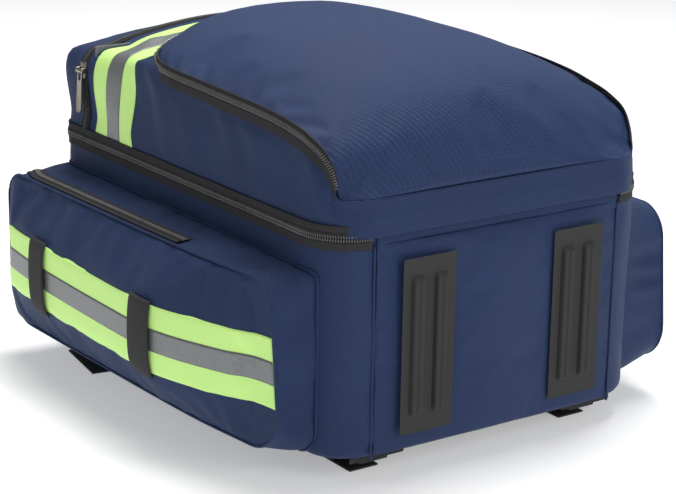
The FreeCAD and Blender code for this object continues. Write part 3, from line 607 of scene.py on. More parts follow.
def make_piece(name: str, bm: bmesh.types.BMesh, finishes: Sequence[Finish], role: Role,
               bevel: float = 0.0) -> bpy.types.Object:
    """Makes a piece and gives it its role.

    Args:
        name: the piece's name.
        bm: its mesh.
        finishes: its materials, in order.
        role: where it belongs.
        bevel: radius of a bevel on its sharp edges, or 0.
    Returns:
        The piece.
    """
    piece = make_object(name, bm, finishes)
    if bevel:
        rounding = piece.modifiers.new("rounding", "BEVEL")
        rounding.width, rounding.segments, rounding.limit_method = bevel, 2, "ANGLE"
    return settle(piece, role)


def thicken(piece: bpy.types.Object, thickness: float, lining: int = 0) -> None:
    """Gives a sheet its thickness, inwards, with its inner side in another of its materials."""
    wall = piece.modifiers.new("wall", "SOLIDIFY")
    wall.thickness, wall.offset = thickness, -1
    wall.material_offset = lining
    wall.use_even_offset = False


def subdivide(piece: bpy.types.Object, levels: int = 1) -> None:
    """Adds a subdivision surface, the same in view and render."""
    finer = piece.modifiers.new("subdivision", "SUBSURF")
    finer.levels = finer.render_levels = levels


def inflate(piece: bpy.types.Object, pinned: Callable[[Vector], float], pressure: float, cap: float,
            growth: float) -> None:
    """Settles a sewn sheet under the pressure of its padding by cloth simulation.

    Args:
        piece: the sheet, with no modifiers yet.
        pinned: how firmly its seams hold a point, from 0 to 1.
        pressure: outward pressure.
        cap: the furthest that a point may move.
        growth: how much longer the cloth is cut than its seams, as a share.
    """
    mesh = piece.data
    seam = piece.vertex_groups.new(name="seam")
    for vert in mesh.vertices:
        seam.add([vert.index], pinned(vert.co), "REPLACE")
    cloth = piece.modifiers.new("cloth", "CLOTH")
    settings = cloth.settings
    settings.quality, settings.mass = CLOTH_STEPS, CLOTH_MASS
    settings.tension_stiffness = settings.compression_stiffness = CLOTH_STIFFNESS
    settings.bending_stiffness = CLOTH_BENDING
    settings.vertex_group_mass = "seam"
    settings.shrink_min = -growth
    settings.use_pressure, settings.uniform_pressure_force = True, pressure
    settings.effector_weights.gravity = 0
    cloth.point_cache.frame_start, cloth.point_cache.frame_end = 1, CLOTH_FRAMES
    for number in range(1, CLOTH_FRAMES + 1):
        bpy.context.scene.frame_set(number)
    done = piece.evaluated_get(bpy.context.evaluated_depsgraph_get())
    moved = [v.co.copy() for v in done.data.vertices]
    piece.modifiers.remove(cloth)
    bpy.context.scene.frame_set(1)
    for vert, target in zip(mesh.vertices, moved):
        shift = target - vert.co
        if shift.length > cap:
            shift *= cap / shift.length
        vert.co += shift
    piece.vertex_groups.remove(seam)


def surface(piece: bpy.types.Object) -> BVHTree:
    """The piece's outer surface, without its wall's thickness, for laying trimmings on it."""
    walls = [step for step in piece.modifiers if step.type == "SOLIDIFY"]
    for wall in walls:
        wall.show_viewport = False
    bpy.context.view_layer.update()
    tree = BVHTree.FromObject(piece, bpy.context.evaluated_depsgraph_get())
    for wall in walls:
        wall.show_viewport = True
    return tree


def laid(bm: bmesh.types.BMesh, tree: BVHTree, lift: float, reach: float = 14 * MM) -> bmesh.types.BMesh:
    """Lays a sheet on a surface that it is close to.

    Args:
        bm: the sheet, close to the surface.
        tree: the surface.
        lift: its height over the surface.
        reach: the furthest that a point is moved.
    Returns:
        The sheet.
    """
    for vert in bm.verts:
        found, normal, _, _ = tree.find_nearest(vert.co, reach)
        if found is not None:
            vert.co = found + normal * lift
    return bm


# ---- outlines -------------------------------------------------------------------------------------------
@dataclass(frozen=True)
class Plan:
    """A rounded rectangle seen from above, walked from the middle of the feet end round the left side."""

    half: float
    near: float
    far: float
    r_near: float
    r_far: float

    def legs(self) -> list[tuple[float, Callable[[float], tuple[float, float, float, float]]]]:
        """Each straight or arc with its length; each gives x, y and the outward normal at a share."""
        h, rn, rf = self.half, self.r_near, self.r_far
        quarter = math.pi / 2

        def line(x0: float, y0: float, x1: float, y1: float, nx: float, ny: float) -> tuple:
            return math.hypot(x1 - x0, y1 - y0), lambda t: (mix(x0, x1, t), mix(y0, y1, t), nx, ny)

        def arc(cx: float, cy: float, r: float, start: float) -> tuple:
            def at(t: float) -> tuple[float, float, float, float]:
                a = start - quarter * t
                return cx + r * math.cos(a), cy + r * math.sin(a), math.cos(a), math.sin(a)
            return r * quarter, at
        return [line(0, self.near, rn - h, self.near, 0, -1), arc(rn - h, self.near + rn, rn, -quarter),
                line(-h, self.near + rn, -h, self.far - rf, -1, 0),
                arc(rf - h, self.far - rf, rf, 2 * quarter),
                line(rf - h, self.far, h - rf, self.far, 0, 1), arc(h - rf, self.far - rf, rf, quarter),
                line(h, self.far - rf, h, self.near + rn, 1, 0), arc(h - rn, self.near + rn, rn, 0),
                line(h - rn, self.near, 0, self.near, 0, -1)]

    @property
    def length(self) -> float:
        """The whole way round."""
        return sum(leg[0] for leg in self.legs())

    def walk(self, distance: float) -> tuple[float, float, float, float]:
        """x, y and the outward normal, a distance along the walk."""
        legs = self.legs()
        for run, at in legs:
            if distance <= run + 1e-9:
                return at(distance / run)
            distance -= run
        return legs[-1][1](1.0)

    def reach(self, y: float) -> float:
        """Half the plan's width at a place along it."""
        for r, edge in ((self.r_near, y - self.near), (self.r_far, self.far - y)):
            if edge < r:
                return self.half - r + math.sqrt(max(r * r - (r - max(edge, 0)) ** 2, 0))
        return self.half

    def fit(self, x: float, y: float) -> tuple[float, float]:
        """Moves a point of the plain rectangle into the rounded one, the edge onto the edge."""
        for r, edge, away in ((self.r_near, y - self.near, 1), (self.r_far, self.far - y, -1)):
            a, b = (abs(x) - (self.half - r)) / r, (r - edge) / r
            if a > 0 and b > 0:
                a, b = min(a, 1), min(b, 1)
                x = math.copysign(self.half - r + r * a * math.sqrt(1 - b * b / 2), x)
                start = self.near if away > 0 else self.far
                y = start + away * (r - r * b * math.sqrt(1 - a * a / 2))
                return x, y
        return x, y

    def sheet(self, across: int, along: int, crowd: float) -> list[list[tuple[float, float]]]:
        """A grid of places over the whole plan, crowded towards its edge.

        Args:
            across: cells across.
            along: cells along.
            crowd: 0 for an even grid, up to 1 for a crowded edge.
        Returns:
            Columns of x, y pairs.
        """
        def spread(share: float) -> float:
            return mix(share, 0.5 - 0.5 * math.cos(math.pi * share), crowd)
        return [[self.fit(mix(-self.half, self.half, spread(i / across)),
                          mix(self.near, self.far, spread(j / along)))
                 for j in range(along + 1)] for i in range(across + 1)]


@dataclass(frozen=True)
class BagShape:
    """The bag's outer forms as formulas, their sizes taken from the frame."""

    y0: float
    half: float
    length: float
    back: float
    rim: float
    corner: float = 36 * MM
    far_corner: float = 20 * MM
    lean: float = 4 * MM
    far_lean: float = 10 * MM
    side: float = 70 * MM
    seam: float = 26 * MM
    flap_reach: float = 310 * MM
    flap_corner: float = 95 * MM
    dome: float = 110 * MM
    lip: float = 4.2 * MM
    zip_gap: float = 3.2 * MM

    @classmethod
    def measured(cls) -> "BagShape":
        """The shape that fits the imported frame."""
        low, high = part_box("tub_shell")
        return cls(low.y, high.x, high.y - low.y, low.z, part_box("cover_shell")[0].z)

    def y(self, local: float) -> float:
        """The row's Y of a distance from the feet end's wall."""
        return self.y0 + local

    def plan(self, grow: float = 0.0) -> Plan:
        """The main compartment's plan."""
        return Plan(self.half + grow, self.y0 - grow, self.y(self.length) + grow, self.corner + grow,
                    self.far_corner + grow)

    def flap_plan(self) -> Plan:
        """The front flap's plan."""
        return Plan(self.half - 0.9 * self.lean, self.y0 - 0.2 * MM, self.y(self.flap_reach), self.corner,
                    self.flap_corner)

    def split(self, x: float, y: float) -> float:
        """Height over the rim of the flap's zip along the side walls, lower on the right one."""
        left = millimetres((10, 26), (11.5, 28), (14.2, 42), (20, 53.5), (30, 61), (46, 66), (80, 70.5),
                           (146, 73.5), (202, 75.5), (255, 76))
        right = millimetres((10, 26), (11.5, 27), (14.2, 29), (20, 38), (30, 50), (46, 58.5), (65, 63.5),
                            (94, 69), (146, 73.5), (255, 76))
        low, high = (through(knots, y - self.y0) for knots in (left, right))
        return mix(low, high, smooth(0.5 + x / (1.2 * self.half)))

    def deck(self, x: float, y: float) -> float:
        """Height over the rim of the cover's crowned deck."""
        local = y - self.y0
        edge = through(millimetres((255, 76), (310, 71), (350, 68), (382, 66)), local)
        crest = through(millimetres((255, 92), (310, 91), (350, 88), (382, 81)), local)
        return edge + (crest - edge) * (1 - (x / self.half) ** 2)

    def flap_height(self, x: float, y: float) -> float:
        """Height over the rim of the padded front flap, fuller towards its left side."""
        plan = self.flap_plan()
        local = min(max(y - plan.near, 0), plan.far - plan.near)
        reach = plan.reach(plan.near + local)
        straight = self.flap_reach - self.flap_corner
        onto_deck = smooth((local - straight + 15 * MM) / (30 * MM))
        edge = mix(self.split(x, y), self.deck(reach, y), onto_deck)
        crest = self.seam + (self.dome - self.seam) * swell(local / (160 * MM), 3, 1.75)
        drop = self.dome - self.deck(0, plan.far)
        crest -= drop * (1 - swell((plan.far - plan.near - local) / (85 * MM), 3, 1.8))
        right = smooth(0.5 + x / (1.2 * self.half))
        side = swell((reach - abs(x)) / reach, mix(3, 3.2, right), mix(1.05, 0.6, right))
        sag = 10 * MM * max(x / self.half, 0) * swell(local / (120 * MM), 3, 2) * side
        return edge + (crest - edge) * side - sag

    def wall(self, x: float, y: float, nx: float, ny: float, height: float) -> Vector:
        """A point of the cover's leaning wall, from its foot's place and normal.

        The far corners sharpen towards the deck, and the near wall stands out over the fold like a lip.
        """
        share = height / self.side
        inward = self.lean * share * abs(nx)
        far = self.far_lean * share * max(ny, 0)
        corner = self.far_corner if ny > 0 else 0.0
        power = mix(1, 0.6, smooth(share))
        x += corner * (math.copysign(abs(nx) ** power, nx) - nx)
        y += corner * (max(ny, 0) ** power - max(ny, 0))
        lip = self.lip * max(-ny, 0) ** 4 * (1 - smooth(height / self.seam))
        return Vector((x - inward * nx, y - far * ny + lip * ny, self.rim + height))


SHAPE = BagShape.measured()


# ---- zips and seams -------------------------------------------------------------------------------------
@dataclass(frozen=True)
class Seam:
    """A line on the bag with the cloth's outward normal and the way up beside each point."""

    points: Column
    outward: Column
    up: Column

    def strip(self, low: float, high: float, lift: float, rows: int = 4,
              thickness: float = 0.9 * MM) -> list[Column]:
        """Columns of a flat tape beside the seam, its section closed round.

        Args:
            low: its lower edge, along the way up.
            high: its upper edge.
            lift: its underside over the cloth.
            rows: rows of cells across it.
            thickness: its thickness.
        Returns:
            The columns.
        """
        found = []
        for point, out, up in zip(self.points, self.outward, self.up):
            face = [point + up * mix(low, high, k / rows) + out * (lift + thickness) for k in range(rows + 1)]
            under = [point + up * mix(high, low, k / rows) + out * lift for k in (0, rows)]
            found.append(face + under + [face[0]])
        return found

    def teeth(self, pitch: float, across: float, offset: float, height: float, lean: float) -> list[Matrix]:
        """Places for a coil's turns along the seam.

        Args:
            pitch: spacing of the turns.
            across: length of a turn.
            offset: distance of its middle from the seam, along the way up.
            height: its middle over the cloth.
            lean: how far it leans, in radians.
        Returns:
            One matrix for each turn.
        """
        found, left = [], 0.0
        scale = Matrix.Diagonal((0.3 * pitch, 0.5 * across, 0.75 * MM, 1))
        for i in range(len(self.points) - 1):
            a, b = self.points[i], self.points[i + 1]
            run, done = (b - a).length, left
            while done < run:
                t = done / run
                out = self.outward[i].lerp(self.outward[i + 1], t)
                up = self.up[i].lerp(self.up[i + 1], t)
                at = a.lerp(b, t) + up * offset + out * height
                turn = Matrix.Rotation(lean, 4, "Z")
                found.append(axes(b - a, out, at) @ turn @ scale)
                done += pitch
            left = done - run
        return found

    def stitches(self, offset: float, height: float, length: float = 2.4 * MM,
                 gap: float = 0.9 * MM) -> list[Matrix]:
        """Places for a row of stitches beside the seam."""
        found, left = [], 0.0
        scale = Matrix.Diagonal((0.5 * length, 0.28 * MM, 0.22 * MM, 1))
        for i in range(len(self.points) - 1):
            a, b = self.points[i], self.points[i + 1]
            run, done = (b - a).length, left
            while done < run:
                at = a.lerp(b, done / run) + self.up[i] * offset + self.outward[i] * height
                found.append(axes(b - a, self.outward[i], at) @ scale)
                done += length + gap
            left = done - run
        return found


@dataclass(frozen=True)
class ZipSize:
    """Sizes of a coil zip."""

    tape: float = 8.5 * MM
    pitch: float = 1.8 * MM
    turn: float = 3.4 * MM
    lift: float = 0.5 * MM
    tape_thickness: float = 0.7 * MM
    start: float = 0.4 * MM
    cord_place: float = 3.3 * MM
    cord_radius: float = 0.45 * MM
    hem_radius: float = 0.7 * MM
    turn_place: float = 1.0 * MM
    turn_rise: float = 0.35 * MM
    turn_lean: float = 0.22


@dataclass(frozen=True)
class ZipHalf:
    """One half of a coil zip: its tape with its hem and cord, and its turns."""

    name: str
    seam: Seam
    upper: bool
    body: str
    nodes: tuple[str, ...] = ()
    sizes: ZipSize = ZipSize()

    def build(self) -> bpy.types.Object:
        """Builds the half as one piece."""
        sizes, way = self.sizes, 1 if self.upper else -1
        low, high = sorted((way * sizes.start, way * sizes.tape))
        tape = closed(woven(self.seam.strip(low, high, sizes.lift, 5, sizes.tape_thickness)))
        top = sizes.lift + sizes.tape_thickness
        ridge = tube(self.beside(way * sizes.cord_place, top), sizes.cord_radius, 6)
        hem = tube(self.beside(way * (sizes.tape - 0.4 * MM), sizes.lift + 0.2 * MM), sizes.hem_radius, 6)
        coil = beads(bmesh.new(), self.seam.teeth(sizes.pitch, sizes.turn, way * sizes.turn_place,
                                                  top + sizes.turn_rise, way * sizes.turn_lean))
        whole = joined([tape, hem, ridge, painted(coil, 1)])
        return make_piece(self.name, whole, (Finish.TAPE, Finish.COIL),
                          Role(self.body, "zip_tape", self.nodes))

    def beside(self, offset: float, height: float) -> Column:
        """The line beside the seam at an offset along the way up and a height over the cloth."""
        seam = self.seam
        return [p + up * offset + out * height for p, up, out in zip(seam.points, seam.up, seam.outward)]


def wall_seam(plan: Plan, height: float, first: float, last: float, step: float = 2.5 * MM) -> Seam:
    """A level seam round upright walls, between two distances along the plan's walk."""
    count = max(2, int((last - first) / step))
    points, outward = [], []
    for i in range(count + 1):
        x, y, nx, ny = plan.walk(mix(first, last, i / count))
        points.append(Vector((x, y, height)))
        outward.append(Vector((nx, ny, 0)))
    return Seam(points, outward, [Z_AXIS.copy() for _ in points])


def stitch_row(name: str, seam: Seam, offset: float, lift: float, role: Role,
               finish: Finish = Finish.NAVY_THREAD) -> bpy.types.Object:
    """A visible row of stitches as a piece."""
    return make_piece(name, beads(bmesh.new(), seam.stitches(offset, lift)), (finish,), role)


# ---- main compartment -----------------------------------------------------------------------------------
@dataclass
class MainCompartment:
    """The cloth compartment with its lining, the feet end's panel, its piping and its rubber feet."""

    wall: float = 5 * MM
    base_round: float = 9 * MM
    foot_steps: tuple[tuple[float, float], ...] = ((0.3, 2.0), (0.5, 0.5), (2.4, 0.0), (0.2, -1.5),
                                                   (0.9, 0.0), (0.2, 1.3))
    rib_section: tuple[tuple[float, float], ...] = ((-5.4, 0), (-4.9, 2.6), (-4.3, 3.5), (-2.2, 3.6),
                                                    (-1.1, 2.7), (0.2, 2.6), (1.2, 3.4), (3.9, 3.5),
                                                    (4.7, 2.7), (5.4, 0))
    rib_offset: float = 10 * MM
    panel_bulge: float = 8 * MM

    def build(self) -> None:
        """Builds the compartment's pieces in order."""
        self.shell()
        self.panel()
        self.piping()
        for name in SIDES:
            self.foot(name)
        self.rim_zip()

    def shell(self) -> None:
        """The walls and the back, lined inside."""
        low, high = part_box("tub_shell")
        top = high.z
        outer = SHAPE.plan()
        count, total = 300, outer.length
        columns = []
        for i in range(count + 1):
            s = total * (i % count) / count
            x, y, nx, ny = outer.walk(s)
            out = Vector((nx, ny, 0))
            foot = Vector((x, y, low.z))
            column = [foot - out * 60 * MM, foot - out * 30 * MM]
            for k in range(5):
                turn = math.pi / 2 * k / 4
                column.append(foot - out * (self.base_round * (1 - math.sin(turn)))
                              + Z_AXIS * (self.base_round * (1 - math.cos(turn))))
            start = low.z + self.base_round
            rows = 26
            for k in range(1, rows + 1):
                z = mix(start, top, k / rows)
                give = min(z - low.z, top - z - 9 * MM)
                at = Vector((x, y, z))
                belly = 2.2 * MM * math.sin(math.pi * (z - low.z) / (top - low.z))
                fold = pucker(s, top - z, 0.9 * MM, 34 * MM, 30 * MM, 2) + slack(at, 1.6 * MM, 55 * MM, 4)
                column.append(at + out * (belly * 0.4 + fold * smooth(give / (14 * MM))))
            columns.append(column)
        bm = closed(woven(columns))
        rim = [e for e in bm.edges if e.is_boundary and e.verts[0].co.z < low.z + MM]
        bmesh.ops.holes_fill(bm, edges=rim, sides=0)
        facing(bm, lambda p: Vector((p.x, p.y, -0.1)))
        piece = make_object("compartment_shell", bm, (Finish.NAVY, Finish.LINING))
        thicken(piece, self.wall, 1)
        settle(piece, Role("root", "navy_fabric", ("tub_shell",)))

    @staticmethod
    def under_foot(x: float, z: float) -> float:
        """How fully a rubber foot holds the panel at a place, from 0 to 1."""
        low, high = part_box("rubber_foot_right")
        outside = max(low.x - abs(x), abs(x) - high.x, low.z - z, z - high.z)
        return smooth(1 - outside / (9 * MM))

    def panel_face(self, x: float, z: float, low: Vector, high: Vector) -> float:
        """How far the feet end's panel stands out at a place, pressed flat under the feet."""
        half = high.x
        across = max(math.cos(math.pi / 2 * x / half), 0) ** 0.8
        up = math.sin(math.pi * min(max((z - low.z) / (high.z - low.z), 0), 1)) ** 0.35
        out = 1.2 * MM + self.panel_bulge * across * max(up, 0.15)
        return mix(out, min(out, 5.6 * MM), self.under_foot(x, z))

    def panel(self) -> None:
        """The feet end's bulging panel, tucked into its piping at the sides."""
        low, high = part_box("bottom_panel")
        across, rows = 72, 52
        columns = []
        for i in range(across + 1):
            x = mix(low.x, high.x, i / across)
            column = []
            for j in range(rows + 1):
                z = mix(low.z + 2 * MM, high.z, j / rows)
                edge = min(x - low.x, high.x - x)
                away = smooth(edge / (16 * MM))
                out = self.panel_face(x, z, low, high)
                drawn = pucker(z, edge, 0.5 * MM, 22 * MM, 14 * MM, 11 + math.copysign(1, x))
                out += away * slack(Vector((x, 0, z)), 1.1 * MM, 48 * MM, 9) * (1 - self.under_foot(x, z))
                out += drawn * smooth(edge / (4 * MM))
                roll = 1.0 if 0 < j else 0.3
                column.append(Vector((x, SHAPE.y0 - out * roll, z)))
            columns.append(column)
        bm = facing(woven(columns), lambda p: -Y_AXIS)
        piece = make_object("feet_panel", bm, (Finish.NAVY, Finish.LINING))

        def held(at: Vector) -> float:
            edge = min(at.x - low.x, high.x - at.x, at.z - low.z, high.z - at.z)
            return 1.0 if edge < 3 * MM or self.under_foot(at.x, at.z) > 0.3 else 0.0
        inflate(piece, held, 0.6, 2.5 * MM, 0.006)
        thicken(piece, 1.2 * MM, 1)
        subdivide(piece)
        settle(piece, Role("root", "navy_fabric", ("bottom_panel",)))

    def piping(self) -> None:
        """The two piped seams down the sides of the feet end."""
        low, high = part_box("panel_piping")
        radius = 1.0 * MM
        cords = []
        for side in SIDES.values():
            x = side * (high.x - 1.7 * MM)
            path = [Vector((x, SHAPE.y0 - 0.9 * MM, z))
                    for z in (mix(low.z, high.z, k / 40) for k in range(41))]
            cords.append(tube(path, radius, 10))
        make_piece("panel_piping_cords", joined(cords), (Finish.NAVY,),
                   Role("root", "navy_fabric", ("panel_piping",)))

    def foot(self, name: str) -> None:
        """A rubber foot: a thin plate with a grooved rim and two tall ribs, each with a doubled ridge."""
        low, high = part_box(f"rubber_foot_{name}")
        wide, tall = high.x - low.x, high.z - low.z
        centre = Vector(((low.x + high.x) / 2, high.y, (low.z + high.z) / 2))
        bm = bmesh.new()
        bmesh.ops.create_grid(bm, x_segments=1, y_segments=1, size=0.5)
        turn = Matrix.Rotation(math.pi / 2, 4, "X")
        bmesh.ops.transform(bm, matrix=turn @ Matrix.Diagonal((wide, tall, 1, 1)), verts=bm.verts)
        bmesh.ops.translate(bm, vec=centre, verts=bm.verts)
        bmesh.ops.bevel(bm, geom=bm.verts[:], offset=2 * MM, segments=3, profile=0.5, affect="VERTICES",
                        material=-1)
        facing(bm, lambda p: -Y_AXIS)
        for inset, rise in millimetres(*self.foot_steps):
            face = max(bm.faces, key=lambda f: f.calc_area())
            bmesh.ops.inset_region(bm, faces=[face], thickness=inset, depth=0, use_even_offset=True)
            bmesh.ops.translate(bm, vec=-Y_AXIS * rise, verts=list(face.verts))
        parts = [bm] + [self.rib(low, high, centre.x + side * self.rib_offset) for side in SIDES.values()]
        make_piece(f"foot_{name}", joined(parts), (Finish.RUBBER,),
                   Role("root", "foot_rubber", (f"rubber_foot_{name}",)), 0.3 * MM)

    def rib(self, low: Vector, high: Vector, x: float) -> bmesh.types.BMesh:
        """One rib: a block with a lengthwise groove and sloping, rounded ends."""
        base = high.y - 2.2 * MM
        z0, z1 = low.z + 13 * MM, high.z - 13 * MM
        rings = []
        for k in range(33):
            z = mix(z0, z1, k / 32)
            end = smooth(min(z - z0, z1 - z) / (3.5 * MM) + 0.12)
            rings.append([Vector((x + u * MM * mix(0.86, 1, end), base - v * MM * 1.02 * end, z))
                          for u, v in self.rib_section])
        return ring_loft(rings)

    def rim_zip(self) -> None:
        """The compartment's half of the main zip."""
        plan = SHAPE.plan()
        start = plan.half - plan.r_near + SHAPE.zip_gap
        seam = wall_seam(plan, SHAPE.rim - 0.2 * MM, start, plan.length - start)
        ZipHalf("main_zip_lower_half", seam, False, "root", ("main_zip_lower",)).build()


# ---- side pockets ---------------------------------------------------------------------------------------
@dataclass
class SidePocket:
    """A side pocket with a gathered gusset, a stuffed face, a zip, reflective tape and webbing loops."""

    name: str
    near: float = 21 * MM
    face_far: float = 10 * MM
    bulge: float = 23 * MM
    top_drop: float = 5 * MM
    foot_rise: float = 5 * MM
    tape_low: float = 43 * MM
    tape_high: float = 94 * MM
    band_offset: float = 8.5 * MM

    def __post_init__(self) -> None:
        """Reads the pocket's place from the frame."""
        self.side = SIDES[self.name]
        low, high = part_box(f"{self.name}_pocket_shell")
        self.z0, self.z1 = low.z, high.z
        self.y1 = SHAPE.y(self.near)
        self.y2 = SHAPE.y(SHAPE.length + self.face_far)
        self.middle = (self.y1 + self.y2) / 2
        near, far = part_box(f"{self.name}_pocket_slider")
        self.slider_x = abs(near.x + far.x) / 2

    def at(self, x: float, y: float, z: float) -> Vector:
        """A point on this side of the bag, x measured outwards."""
        return Vector((self.side * x, y, z))

    def face_plan(self) -> Plan:
        """The face's outline in the YZ plane: its half width is half its length."""
        half = (self.y2 - self.y1 - 4 * MM) / 2
        return Plan(half, self.z0 + self.foot_rise, self.z1 - self.top_drop, 32 * MM, 22 * MM)

    def leaned(self, u: float, z: float) -> float:
        """The row's Y of a place on the face, whose near end leans away from the feet at its top."""
        half = self.face_plan().half
        fade = smooth((120 * MM - (u + half)) / (120 * MM))
        return self.middle + u + fade * mix(-4 * MM, 8 * MM, (z - self.z0) / (self.z1 - self.z0))

    def seam_x(self, y: float) -> float:
        """How far out the face's seam lies: the right pocket is packed out to its near end."""
        if self.side > 0:
            return mix(187 * MM, 190 * MM, (y - self.y1) / (self.y2 - self.y1))
        return through(millimetres((20, 174), (55, 177), (120, 183), (260, 187), (401, 190)), y - SHAPE.y0)

    def face_x(self, y: float, z: float) -> float:
        """How far out the stuffed face stands."""
        plan = self.face_plan()
        along = through(((13, 0), (38, 0.02), (60, 0.22), (93, 0.6), (135, 0.98), (165, 0.98), (296, 0.75),
                         (375, 0.4), (398, 0.02)), (y - SHAPE.y0) / MM)
        rise = swell(min(z - plan.near, plan.far - z) / (52 * MM), 2.6, 1.5)
        return self.seam_x(y) + self.bulge * along * rise

    def build(self) -> None:
        """Builds the pocket's pieces in order."""
        self.face()
        self.gusset()
        self.tape()
        self.loops()
        self.zip()

    def face(self) -> None:
        """The stuffed outer face."""
        places = self.face_plan().sheet(96, 40, 0.6)
        columns = [[(self.leaned(u, z), z) for u, z in line] for line in places]
        columns = [[self.at(self.face_x(y, z), y, z) for y, z in line] for line in columns]
        flat = [[(u + 1, z) for u, z in line] for line in places]
        bm = facing(woven(columns, flat), lambda p: X_AXIS * self.side)
        piece = make_object(f"{self.name}_pocket_face", bm, (Finish.NAVY, Finish.LINING))

        def held(at: Vector) -> float:
            return 1.0 if abs(at.x) < self.seam_x(at.y) + 1.5 * MM else 0.0
        inflate(piece, held, 1.0, 4 * MM, 0.012)
        thicken(piece, 1.6 * MM, 1)
        subdivide(piece)
        settle(piece, Role("root", "navy_fabric", (f"{self.name}_pocket_shell",)))
        self.face_piece = piece

    def gusset(self) -> None:
        """The gathered wall between the bag's side and the face, with a sharp near top corner."""
        half = (SHAPE.y(SHAPE.length - 3.5 * MM) - self.y1) / 2
        inner_middle = self.y1 + half
        rise = 12 * MM if self.side > 0 else 0.0
        inner, outer = Plan(half, self.z0, self.z1 + rise, 16 * MM, 5 * MM), self.face_plan()
        count, rows = 260, 14
        columns, cord, edging = [], [], []
        for i in range(count + 1):
            share = (i % count) / count
            u0, v0, nu, nv = inner.walk(share * inner.length)
            u1, v1, mu, mv = outer.walk(share * outer.length)
            y0, y1 = inner_middle + u0, self.leaned(u1, v1)
            x0, x1 = SHAPE.plan().reach(y0) - 3 * MM, self.seam_x(y1)
            calm = smooth((y1 - SHAPE.y(120 * MM)) / (40 * MM)) * smooth((v1 - self.z1 + 30 * MM) / (12 * MM))
            column = []
            for j in range(rows + 1):
                t = j / rows
                out = Vector((0, mix(nu, mu, t), mix(nv, mv, t)))
                s = share * inner.length
                fold = pucker(s, (1 - t) * 30 * MM, 2.4 * MM, 26 * MM, 30 * MM, 20 + self.side)
                fold += pucker(s + 20 * MM * t, t * 30 * MM, 1.6 * MM, 33 * MM, 24 * MM, 25 + self.side)
                fold += slack(Vector((y0, v0, t * 0.03)), 6.0 * MM, 38 * MM, 6 + self.side) + 0.8 * MM
                gather = math.sin(math.pi * t) * mix(1, smooth((0.62 - t) / 0.35), calm)
                lip = 1.1 * MM * math.exp(-((1 - t) * rows / 0.8) ** 2) * (1 - calm)
                along = mix(y0, y1, t ** 5 if y1 > y0 > self.middle else t)
                at = self.at(mix(x0, x1 + 0.6 * MM, t), along, mix(v0, v1, t))
                column.append(at + out * (gather * fold + lip))
            column.append(self.at(x1 - 1.2 * MM, y1, v1) - Vector((0, mu, mv)) * 2 * MM)
            columns.append(column)
            cord.append(self.at(x0 + 3.6 * MM, y0, v0) + Vector((0, nu, nv)) * 0.6 * MM)
            edging.append(self.at(x1 + 0.2 * MM, y1, v1) + Vector((0, mu, mv)) * 0.5 * MM)
        bm = closed(woven(columns))
        facing(bm, lambda p: Vector((0, p.y - self.middle, p.z - (self.z0 + self.z1) / 2)))
        piece = make_object(f"{self.name}_pocket_gusset", bm, (Finish.NAVY, Finish.LINING))
        thicken(piece, 1.6 * MM, 1)
        subdivide(piece)
        settle(piece, Role("root", "navy_fabric"))
        self.gusset_piece = piece
        cords = joined([tube(path, 1.1 * MM, 8) for path in (cord, edging)])
        make_piece(f"{self.name}_pocket_piping", with_pattern(cords), (Finish.NAVY,),
                   Role("root", "navy_fabric"))

    def tape(self) -> None:
        """The lime, silver and lime tape across the face."""
        low, high = SHAPE.back + self.tape_low, SHAPE.back + self.tape_high
        tree = surface(self.face_piece)
        reach = self.face_plan().half - 1.5 * MM
        columns = []
        for i in range(121):
            u = mix(-reach, reach, i / 120)
            places = [(self.leaned(u, z), z) for z in (mix(low, high, k / 24) for k in range(25))]
            columns.append([self.at(self.face_x(y, z), y, z) for y, z in places])
        self.striped(f"{self.name}_pocket_stripes", columns, tree, Role(
            "root", "reflective_tape", (f"{self.name}_pocket_tape",)))

    @staticmethod
    def striped(name: str, columns: Sequence[Column], tree: BVHTree, role: Role,
                drop: Callable[[Vector], bool] | None = None) -> bpy.types.Object:
        """A lime tape laid on a surface, with its silver middle sewn on top of it.

        Args:
            name: the piece's name.
            columns: the tape's points, close to the surface, 25 to a column.
            tree: the surface.
            role: where it belongs.
            drop: true where the tape is left out.
        Returns:
            The piece.
        """
        lime = woven(columns)
        silver = painted(woven([column[8:17] for column in columns]), 1)
        for bm, lift in ((lime, 0.5 * MM), (silver, 0.85 * MM)):
            if drop is not None:
                gone = [f for f in bm.faces if drop(f.calc_center_median())]
                bmesh.ops.delete(bm, geom=gone, context="FACES")
            laid(bm, tree, lift)
            bm.normal_update()
            fall = sum((f.normal.dot(tree.find_nearest(f.calc_center_median())[1]) for f in bm.faces))
            if fall < 0:
                bmesh.ops.reverse_faces(bm, faces=bm.faces)
        piece = make_object(name, joined([lime, silver]), (Finish.LIME, Finish.SILVER))
        thicken(piece, 0.4 * MM)
        return settle(piece, role)

